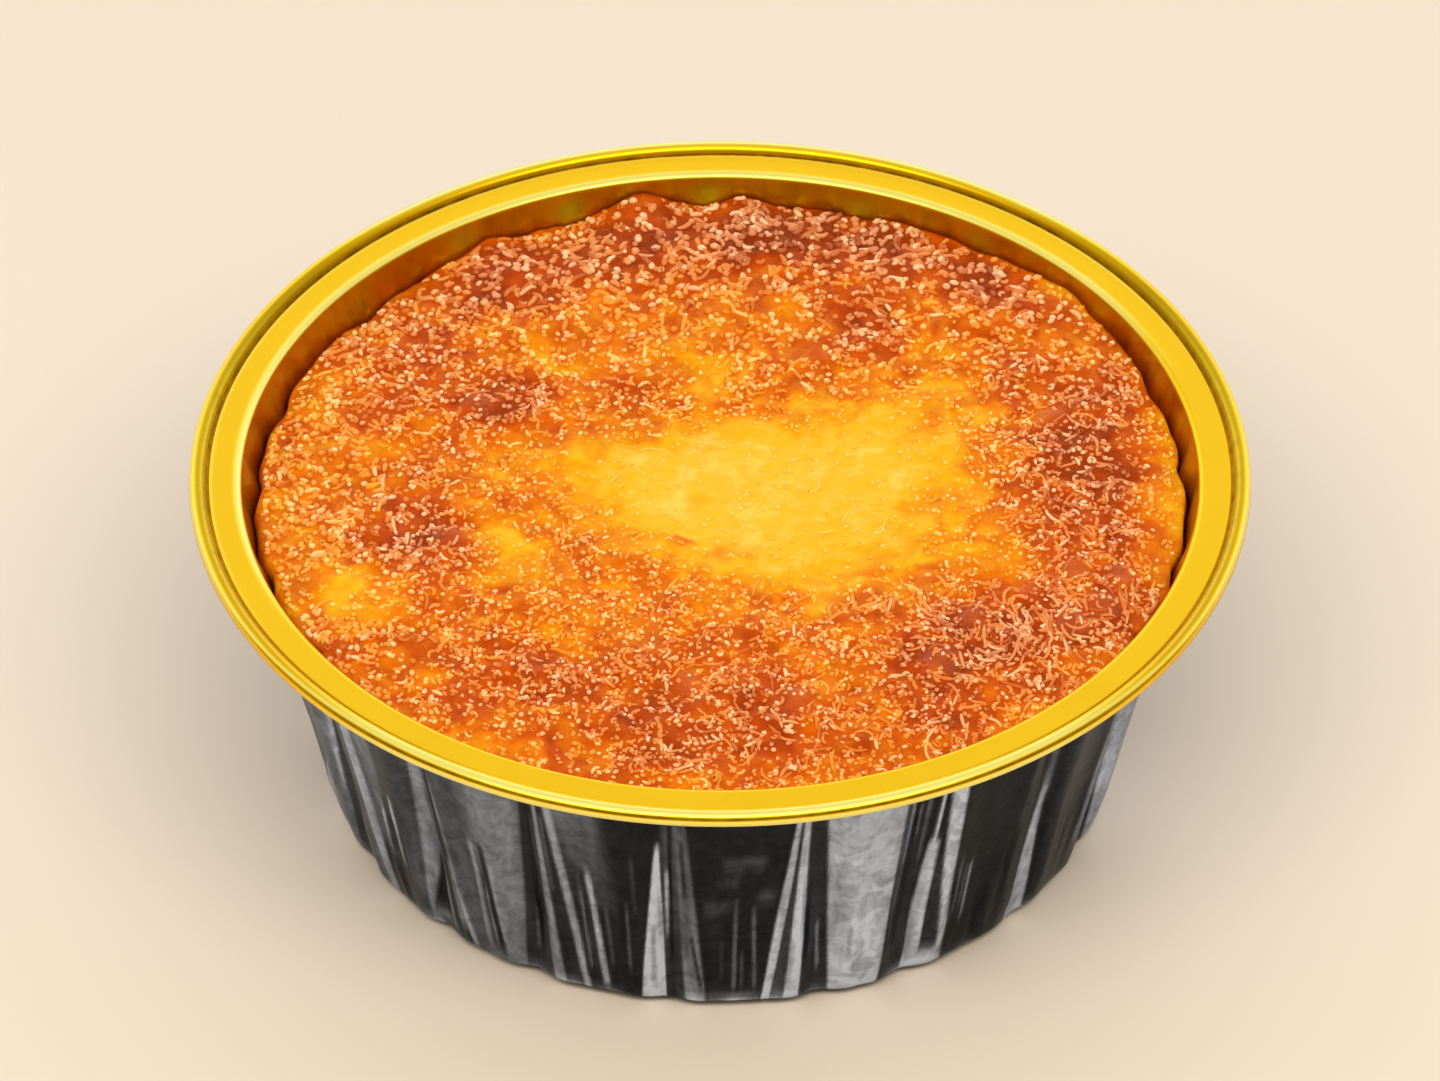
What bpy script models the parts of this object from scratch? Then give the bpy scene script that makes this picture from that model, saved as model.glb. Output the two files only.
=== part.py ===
"""Basbousa baked in its own round foil cup, in metres, +Z up.

The origin is the centre of the cup's base on the table, and the front faces -Y.
foil_cup is one thin shell: a flat base, a pleated wall that leans outwards, a bend, a flat flange,
a groove and a rolled bead. cake is one solid that fills the cup up to a few millimetres below the
flange: a gently domed crust with lumps, and a craggy edge that sits a little lower.
"""

import math

import bmesh
import bpy
import numpy as np

MM = 0.001

# The cup's driving dimensions
RIM_RADIUS = 60.0 * MM
BEAD_RADIUS = 0.95 * MM
FLANGE_TOP = 41.15 * MM
BEAD_DROP = 0.15 * MM
GROOVE_DEPTH = 0.25 * MM
GROOVE_LIP = 0.1 * MM
MOUTH_RADIUS = 54.0 * MM
FLOOR_RADIUS = 43.0 * MM
FLOOR_EDGE = 1.0 * MM
FLOOR_STEP = 0.7 * MM
BEND_SIZE = 0.8 * MM
FOIL = 0.4 * MM
WALL_LEVELS = (11.0 * MM, 22.0 * MM, 33.0 * MM)
PLEATED_FROM = 0.5 * FLOOR_RADIUS
BASE_SLOPE = -0.9
CUP_CREASE = 30.0
UNDERSIDE_SHARE = 0.6
STEPS_AROUND = 168
BEAD_SIDES = 8
FIRST_BEAD_SIDE = 1

# Pleats: degrees from the front towards +X, half width in degrees, depth, lean in degrees down to the base
FRONT_PLEATS = (
    (-75.0, 2.4, 0.8 * MM, -3.0),
    (-59.0, 2.2, 1.0 * MM, -4.0),
    (-41.0, 2.2, 1.1 * MM, -3.0),
    (-25.5, 2.4, 1.2 * MM, -2.5),
    (-6.5, 2.2, 0.9 * MM, -1.0),
    (12.0, 2.2, 1.1 * MM, 2.5),
    (26.5, 2.4, 1.2 * MM, 1.0),
    (47.0, 2.2, 0.8 * MM, 1.0),
    (63.0, 2.2, 1.0 * MM, 3.0),
    (77.0, 2.2, 0.8 * MM, 2.0),
)
BACK_PLEAT_COUNT = 11
BACK_PLEAT_JITTER = 2.6
BACK_PLEAT_DEPTHS = (0.7 * MM, 1.2 * MM)
BACK_PLEAT_LEAN = 3.0
BACK_PLEAT_WIDTH = 2.3
PLEAT_SEED = 7
PLEAT_SHOULDER = 0.45
SHOULDER_PLACE = 2.0
PLEAT_RUN_OUT = 6.5 * MM
PLEAT_FOOT_SHARE = 0.4

# The cake's driving dimensions
FLOOR_GAP = 0.3 * MM
SIDE_GAP = 0.36 * MM
EDGE_DEPTH = 3.5 * MM
EDGE_DEPTH_WAVES = ((1, -0.35 * MM, 0.14 * MM), (2, 0.24 * MM, -0.37 * MM), (3, 0.08 * MM, -0.13 * MM))
DOME_DEPTH = 1.65 * MM
DOME_SHOULDER = 0.55
DOME_POWER = 3
RELIEF_POWER = 6
CENTRE_SINK = 0.45 * MM
CENTRE_SINK_RADIUS = 17.0 * MM
SHRUNK_GAPS = ((180.0, 1.0 * MM), (6.0, 0.65 * MM))
SHRUNK_POWER = 3
SHRUNK_FROM = 36.0 * MM
SHRUNK_TO = 38.0 * MM
FOOT_LIFT = 0.15 * MM
GRID_CELLS = STEPS_AROUND // 4
CAKE_CREASE = 45.0

# Relief of the crust
CRUST_SEED = 41
LUMP_COUNT = 90
LUMP_AREA = (0.06, 0.86)
LUMP_RADII = (1.8 * MM, 4.2 * MM)
LUMP_HEIGHTS = (0.25 * MM, 0.75 * MM)
ROUGH_CELLS = ((9.0 * MM, 0.34 * MM), (4.6 * MM, 0.3 * MM))
NOISE_REACH = 1.2 * RIM_RADIUS
SMOOTH_CENTRE = 19.0 * MM
CENTRE_CALM = 0.65
EDGE_CRAG = 0.45 * MM
EDGE_CRAG_CELL = 9.0 * MM
EDGE_CRAG_SEED = 52
CLIMBING_CRAGS = (
    (41.0, 5.0, 0.8 * MM),
    (87.0, 2.6, 0.8 * MM),
    (100.0, 3.8, 1.9 * MM),
    (121.0, 4.0, 1.6 * MM),
    (150.0, 5.0, 0.6 * MM),
)

GOLD = (0.90, 0.55, 0.03, 1.0)
DARK = (0.045, 0.05, 0.045, 1.0)
CRUST = (0.62, 0.17, 0.02, 1.0)


def clear_scene():
    """Removes whatever the scene holds."""
    for obj in list(bpy.data.objects):
        bpy.data.objects.remove(obj, do_unlink=True)


def make_collection(name):
    """A collection linked to the scene."""
    collection = bpy.data.collections.new(name)
    bpy.context.scene.collection.children.link(collection)
    return collection


def make_material(name, colour, roughness, metallic):
    """A Principled material."""
    material = bpy.data.materials.new(name)
    material.use_nodes = True
    shader = material.node_tree.nodes["Principled BSDF"]
    shader.inputs["Base Color"].default_value = colour
    shader.inputs["Roughness"].default_value = roughness
    shader.inputs["Metallic"].default_value = metallic
    material.diffuse_color = colour
    return material


def inner_wall_radius(height):
    """Radius of the wall's inner face, a straight cone from the floor's edge to the mouth."""
    share = (height - FOIL) / (FLANGE_TOP - BEND_SIZE - FOIL)
    start = FLOOR_RADIUS + FLOOR_STEP
    return start + (MOUTH_RADIUS - start) * share


def pleats():
    """All pleats round the wall: the chosen front ones, then evenly spaced ones with a seeded shift."""
    draw = np.random.default_rng(PLEAT_SEED)
    rows = list(FRONT_PLEATS)
    first = FRONT_PLEATS[-1][0]
    last = FRONT_PLEATS[0][0] + 360.0
    for number in range(1, BACK_PLEAT_COUNT + 1):
        even = first + (last - first) * number / (BACK_PLEAT_COUNT + 1)
        angle = even + draw.uniform(-BACK_PLEAT_JITTER, BACK_PLEAT_JITTER)
        depth = draw.uniform(*BACK_PLEAT_DEPTHS)
        lean = draw.uniform(-BACK_PLEAT_LEAN, BACK_PLEAT_LEAN)
        rows.append((angle, BACK_PLEAT_WIDTH, depth, lean))
    return rows


def pleat_offset(turn, height):
    """How far a pleated wall stands out at a turn (radians from +X) and a height.

    Each pleat is a narrow valley between two low shoulders, all three bell curves of the angle. The
    pleats fade in a straight line to nothing at the bend below the flange, and to a share of their depth
    at the foot.
    """
    from_front = np.degrees(turn) + 90.0
    fall = 1.0 - height / FLANGE_TOP
    total = np.zeros(np.broadcast(turn, height).shape)
    for angle, width, depth, lean in pleats():
        away = (from_front - angle - lean * fall + 180.0) % 360.0 - 180.0
        valley = np.exp(-((away / width) ** 2))
        shoulders = np.exp(-(((np.abs(away) - SHOULDER_PLACE * width) / width) ** 2))
        total += depth * (PLEAT_SHOULDER * shoulders - valley)
    run_out = np.clip((FLANGE_TOP - BEND_SIZE - height) / PLEAT_RUN_OUT, 0.0, 1.0)
    foot = PLEAT_FOOT_SHARE + (1.0 - PLEAT_FOOT_SHARE) * np.clip(height / WALL_LEVELS[0], 0.0, 1.0)
    return total * run_out * foot


def cup_profile():
    """The cup's section from the floor's centre up the inside, over the flange and bead, and down the outside."""
    lean = math.atan2(MOUTH_RADIUS - FLOOR_RADIUS, FLANGE_TOP)
    wall = FOIL / math.cos(lean)
    bend_start = FLANGE_TOP - BEND_SIZE
    bead_x = RIM_RADIUS - BEAD_RADIUS
    bead_z = FLANGE_TOP - BEAD_DROP
    inside = [(0.0, FOIL), (FLOOR_RADIUS - FOIL, FOIL)]
    levels = (FOIL + FLOOR_EDGE, *WALL_LEVELS, bend_start)
    inside += [(inner_wall_radius(level), level) for level in levels]
    inside.append((MOUTH_RADIUS + BEND_SIZE, FLANGE_TOP))
    groove_x = bead_x - BEAD_RADIUS
    inside.append((groove_x - GROOVE_DEPTH, FLANGE_TOP))
    inside.append((groove_x + GROOVE_LIP, FLANGE_TOP - GROOVE_DEPTH))
    bead = []
    for side in range(FIRST_BEAD_SIDE, BEAD_SIDES - 1):
        turn = math.pi - 2.0 * math.pi * side / BEAD_SIDES
        bead.append((bead_x + BEAD_RADIUS * math.cos(turn), bead_z + BEAD_RADIUS * math.sin(turn)))
    outside = [(groove_x + FOIL, FLANGE_TOP - GROOVE_DEPTH - FOIL)]
    outside.append((MOUTH_RADIUS + BEND_SIZE + wall * UNDERSIDE_SHARE, FLANGE_TOP - FOIL))
    outside.append((inner_wall_radius(bend_start) + wall, bend_start - FOIL * UNDERSIDE_SHARE))
    outside += [(inner_wall_radius(level) + wall, level) for level in reversed(WALL_LEVELS)]
    outside.append((inner_wall_radius(FLOOR_EDGE) + wall, FLOOR_EDGE))
    outside += [(FLOOR_RADIUS, 0.0), (0.0, 0.0)]
    return inside + bead + outside


def turned_mesh(name, profile, steps):
    """A closed mesh made by turning a profile round Z, with its ends on the axis."""
    outline = bpy.data.meshes.new(name + "_outline")
    edges = [(index, index + 1) for index in range(len(profile) - 1)]
    outline.from_pydata([(radius, 0.0, height) for radius, height in profile], edges, [])
    turner = bpy.data.objects.new(name + "_turner", outline)
    bpy.context.scene.collection.objects.link(turner)
    screw = turner.modifiers.new("Turn", "SCREW")
    screw.axis = "Z"
    screw.steps = steps
    screw.render_steps = steps
    screw.use_merge_vertices = True
    screw.merge_threshold = 0.00001
    graph = bpy.context.evaluated_depsgraph_get()
    mesh = bpy.data.meshes.new_from_object(turner.evaluated_get(graph))
    mesh.name = name
    bpy.data.objects.remove(turner, do_unlink=True)
    shell = bmesh.new()
    shell.from_mesh(mesh)
    bmesh.ops.remove_doubles(shell, verts=shell.verts, dist=0.000001)
    bmesh.ops.recalc_face_normals(shell, faces=shell.faces)
    shell.to_mesh(mesh)
    shell.free()
    return mesh


def read_points(mesh):
    """The mesh's vertices as an array."""
    points = np.empty(len(mesh.vertices) * 3, np.float32)
    mesh.vertices.foreach_get("co", points)
    return points.reshape(-1, 3).astype(np.float64)


def write_points(mesh, points):
    """Puts an array of vertices back."""
    mesh.vertices.foreach_set("co", points.astype(np.float32).ravel())
    mesh.update()


def pleat_mesh(mesh):
    """Moves the wall's vertices in and out along their radius, and leaves the axis, flange and bead."""
    points = read_points(mesh)
    radius = np.hypot(points[:, 0], points[:, 1])
    turn = np.arctan2(points[:, 1], points[:, 0])
    moved = radius + np.where(radius > PLEATED_FROM, pleat_offset(turn, points[:, 2]), 0.0)
    scale = np.where(radius > 0.0, moved / np.maximum(radius, MM), 1.0)
    points[:, :2] *= scale[:, None]
    write_points(mesh, points)


def make_foil_cup(collection):
    """The pleated cup, gold inside and on the flange and bead, dark outside."""
    mesh = turned_mesh("foil_cup", cup_profile(), STEPS_AROUND)
    pleat_mesh(mesh)
    mesh.materials.append(make_material("gold_foil", GOLD, 0.3, 1.0))
    mesh.materials.append(make_material("dark_foil", DARK, 0.35, 0.9))
    groove_radius = RIM_RADIUS - 2.0 * BEAD_RADIUS
    for face in mesh.polygons:
        outward = face.center.x * face.normal.x + face.center.y * face.normal.y
        inside_bead = math.hypot(face.center.x, face.center.y) < groove_radius
        below_flange = inside_bead and face.center.z < FLANGE_TOP - FOIL
        face.material_index = int(below_flange and (outward > 0.0 or face.normal.z < BASE_SLOPE))
    mesh.shade_smooth()
    mesh.set_sharp_from_angle(angle=math.radians(CUP_CREASE))
    collection.objects.link(bpy.data.objects.new("foil_cup", mesh))


def smooth_noise(x, y, cell, seed):
    """Values from -1 to 1 on a square lattice, blended smoothly between its knots."""
    count = 2 + int(2.0 * NOISE_REACH / cell)
    knots = np.random.default_rng(seed).uniform(-1.0, 1.0, (count + 1, count + 1))
    across = np.clip((x + NOISE_REACH) / cell, 0.0, count - 0.001)
    along = np.clip((y + NOISE_REACH) / cell, 0.0, count - 0.001)
    column = across.astype(int)
    row = along.astype(int)
    u = across - column
    v = along - row
    u = u * u * (3.0 - 2.0 * u)
    v = v * v * (3.0 - 2.0 * v)
    low = knots[row, column] * (1.0 - u) + knots[row, column + 1] * u
    high = knots[row + 1, column] * (1.0 - u) + knots[row + 1, column + 1] * u
    return low * (1.0 - v) + high * v


def crust_relief(x, y):
    """Lumps and hollows of the crust: two lattices of noise and round lumps, calmer in the pale middle."""
    relief = np.zeros_like(x)
    for number, (cell, height) in enumerate(ROUGH_CELLS):
        relief += height * smooth_noise(x, y, cell, CRUST_SEED + number)
    draw = np.random.default_rng(CRUST_SEED)
    for _ in range(LUMP_COUNT):
        distance = math.sqrt(draw.uniform(*LUMP_AREA)) * MOUTH_RADIUS
        turn = draw.uniform(0.0, 2.0 * math.pi)
        width = draw.uniform(*LUMP_RADII)
        height = draw.uniform(*LUMP_HEIGHTS)
        away = (x - distance * math.cos(turn)) ** 2 + (y - distance * math.sin(turn)) ** 2
        relief += height * np.exp(-away / width**2)
    calm = 1.0 - CENTRE_CALM * np.exp(-(x**2 + y**2) / SMOOTH_CENTRE**2)
    return relief * calm


def edge_depth(turn):
    """Depth of the cake's edge below the flange: a mean with waves round, small crags and a few tall ones."""
    depth = np.full_like(turn, EDGE_DEPTH)
    for waves, cosine, sine in EDGE_DEPTH_WAVES:
        depth += cosine * np.cos(waves * turn) + sine * np.sin(waves * turn)
    degrees = np.degrees(turn) % 360.0
    x = MOUTH_RADIUS * np.cos(turn)
    y = MOUTH_RADIUS * np.sin(turn)
    depth += EDGE_CRAG * smooth_noise(x, y, EDGE_CRAG_CELL, EDGE_CRAG_SEED)
    for angle, width, height in CLIMBING_CRAGS:
        depth -= height * np.exp(-(((degrees - angle) / width) ** 2))
    return depth


def cake_edge_radius(turn, height):
    """The cake's side: inside the pleated wall by a thin gap, wider at the top where the cake has shrunk away."""
    shrunk = np.zeros_like(turn)
    for angle, gap in SHRUNK_GAPS:
        shrunk += gap * np.clip(np.cos(turn - math.radians(angle)), 0.0, 1.0) ** SHRUNK_POWER
    upper = np.clip((height - SHRUNK_FROM) / (SHRUNK_TO - SHRUNK_FROM), 0.0, 1.0)
    return inner_wall_radius(height) + pleat_offset(turn, height) - SIDE_GAP - shrunk * upper


def cake_top(share, turn):
    """Points of the crust at a share of the way from the middle (0) to the edge (1).

    Past the dome's shoulder the height falls to the edge with the cube of the way left, while the relief
    holds almost to the edge.
    """
    edge = edge_depth(turn)
    radius = share * cake_edge_radius(turn, FLANGE_TOP - edge)
    x = radius * np.cos(turn)
    y = radius * np.sin(turn)
    ramp = np.clip((share - DOME_SHOULDER) / (1.0 - DOME_SHOULDER), 0.0, 1.0)
    depth = DOME_DEPTH + (edge - DOME_DEPTH) * ramp**DOME_POWER
    depth += CENTRE_SINK * np.exp(-((radius / CENTRE_SINK_RADIUS) ** 2))
    height = FLANGE_TOP - depth + crust_relief(x, y) * (1.0 - ramp**RELIEF_POWER)
    return np.stack([x, y, height], axis=1)


def disc_coordinates(u, v):
    """A square grid from -1 to 1 bent to a disc: rings of the square become circles, evenly divided."""
    ring = np.maximum(np.abs(u), np.abs(v))
    safe = np.where(ring > 0.0, ring, 1.0)
    on_side = np.abs(u) >= np.abs(v)
    turn_side = (math.pi / 4.0) * v / safe * np.sign(u) + np.where(u < 0.0, math.pi, 0.0)
    turn_end = (math.pi / 2.0) * np.sign(v) - (math.pi / 4.0) * u / safe * np.sign(v)
    return ring, np.where(on_side, turn_side, turn_end)


def cake_rings():
    """Heights of the side's rings below the edge, each with how far it steps in from the side."""
    floor = FOIL + FLOOR_GAP
    rings = [(level, 0.0) for level in (SHRUNK_FROM, *reversed(WALL_LEVELS))]
    rings.append((FOIL + FLOOR_EDGE + FOOT_LIFT, 0.0))
    rings.append((floor, FLOOR_EDGE))
    return rings


def make_cake(collection):
    """The cake: a grid bent to a disc for the crust, rings down the side and a flat base."""
    cake = bmesh.new()
    bmesh.ops.create_grid(cake, x_segments=GRID_CELLS, y_segments=GRID_CELLS, size=1.0)
    flat = np.array([vertex.co for vertex in cake.verts])
    top = cake_top(*disc_coordinates(flat[:, 0], flat[:, 1]))
    for vertex, place in zip(cake.verts, top):
        vertex.co = place
    loop = [edge for edge in cake.edges if edge.is_boundary]
    for height, inset in cake_rings():
        made = bmesh.ops.extrude_edge_only(cake, edges=loop)["geom"]
        for vertex in (item for item in made if isinstance(item, bmesh.types.BMVert)):
            turn = math.atan2(vertex.co.y, vertex.co.x)
            radius = float(cake_edge_radius(np.array(turn), height)) - inset
            vertex.co = (radius * math.cos(turn), radius * math.sin(turn), height)
        loop = [item for item in made if isinstance(item, bmesh.types.BMEdge) and item.is_boundary]
    bmesh.ops.contextual_create(cake, geom=loop)
    bmesh.ops.recalc_face_normals(cake, faces=cake.faces)
    mesh = bpy.data.meshes.new("cake")
    cake.to_mesh(mesh)
    cake.free()
    mesh.materials.append(make_material("crust", CRUST, 0.35, 0.0))
    mesh.shade_smooth()
    mesh.set_sharp_from_angle(angle=math.radians(CAKE_CREASE))
    collection.objects.link(bpy.data.objects.new("cake", mesh))


def main():
    clear_scene()
    collection = make_collection("basbousa")
    make_foil_cup(collection)
    make_cake(collection)


main()
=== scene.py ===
import math
from itertools import combinations

import bmesh
import bpy
import numpy as np
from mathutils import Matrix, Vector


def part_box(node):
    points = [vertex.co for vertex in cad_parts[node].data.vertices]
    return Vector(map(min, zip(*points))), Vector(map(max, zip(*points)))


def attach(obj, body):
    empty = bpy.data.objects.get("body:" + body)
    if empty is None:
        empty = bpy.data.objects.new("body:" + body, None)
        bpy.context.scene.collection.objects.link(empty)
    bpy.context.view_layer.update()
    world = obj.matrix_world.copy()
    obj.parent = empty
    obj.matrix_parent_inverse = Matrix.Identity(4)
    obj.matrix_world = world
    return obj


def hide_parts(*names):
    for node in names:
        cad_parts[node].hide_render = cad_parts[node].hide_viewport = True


bl_info = {
    "name": "Basbousa in a foil cup",
    "version": (1, 0, 0),
    "blender": (4, 5, 0),
    "location": "3D View > Sidebar > Basbousa",
    "description": "Foil baking cup and browned semolina cake built on the packed solids",
    "category": "Add Mesh",
}

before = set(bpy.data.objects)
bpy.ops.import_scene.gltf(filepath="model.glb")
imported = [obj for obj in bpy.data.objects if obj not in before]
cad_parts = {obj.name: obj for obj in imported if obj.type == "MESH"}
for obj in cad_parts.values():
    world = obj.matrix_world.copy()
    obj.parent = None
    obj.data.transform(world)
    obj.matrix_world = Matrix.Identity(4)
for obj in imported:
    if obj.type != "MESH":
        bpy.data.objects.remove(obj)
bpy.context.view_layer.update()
CUP_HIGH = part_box("foil_cup")[1]

MM = 0.001

# The cup's section as the solid has it
RIM_RADIUS = CUP_HIGH[0]
BEAD_RADIUS = 0.95 * MM
BEAD_DROP = 0.15 * MM
FLANGE_TOP = CUP_HIGH[2] + BEAD_DROP - BEAD_RADIUS
GROOVE_DEPTH = 0.3 * MM
GROOVE_WIDTH = 0.8 * MM
MOUTH_RADIUS = RIM_RADIUS - 6.0 * MM
FLOOR_RADIUS = RIM_RADIUS - 17.0 * MM
FLOOR_EDGE = 1.0 * MM
FLOOR_STEP = 0.7 * MM
BEND_SIZE = 0.8 * MM
BEND_START = FLANGE_TOP - BEND_SIZE
FOIL = 0.4 * MM

# Heights where rings of the wall and of the cake's side lie, and the rows of the outer wall between them
LOWER_LEVEL = 11.0 * MM
MIDDLE_LEVEL = 22.0 * MM
UPPER_LEVEL = 33.0 * MM
FINE_LEVEL = 34.5 * MM
FOOT_TOP = 1.9 * MM
FOOT_BEND = 1.3 * MM
FOOT_TIP = (FLOOR_RADIUS + 0.15 * MM, 0.08 * MM)
BASE_RADIUS = FLOOR_RADIUS - 0.2 * MM
OUTER_WALL_ROWS = 29
FRONT_COLUMNS = 680
BACK_COLUMNS = 300

# Pleats: degrees from the front towards +X, half width in degrees, depth, lean in degrees down to the base
FRONT_PLEATS = (
    (-75.0, 2.4, 0.8 * MM, -3.0),
    (-59.0, 2.2, 1.0 * MM, -4.0),
    (-41.0, 2.2, 1.1 * MM, -3.0),
    (-25.5, 2.4, 1.2 * MM, -2.5),
    (-6.5, 2.2, 0.9 * MM, -1.0),
    (12.0, 2.2, 1.1 * MM, 2.5),
    (26.5, 2.4, 1.2 * MM, 1.0),
    (47.0, 2.2, 0.8 * MM, 1.0),
    (63.0, 2.2, 1.0 * MM, 3.0),
    (77.0, 2.2, 0.8 * MM, 2.0),
)
BACK_PLEAT_COUNT = 11
BACK_PLEAT_JITTER = 2.6
BACK_PLEAT_DEPTHS = (0.7 * MM, 1.2 * MM)
BACK_PLEAT_LEAN = 3.0
BACK_PLEAT_WIDTH = 2.3
PLEAT_SEED = 7
PLEAT_SHOULDER = 0.45
SHOULDER_PLACE = 2.0
PLEAT_RUN_OUT = 6.5 * MM
PLEAT_FOOT_SHARE = 0.4
PLEAT_FOOT_HEIGHT = 11.0 * MM

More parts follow.
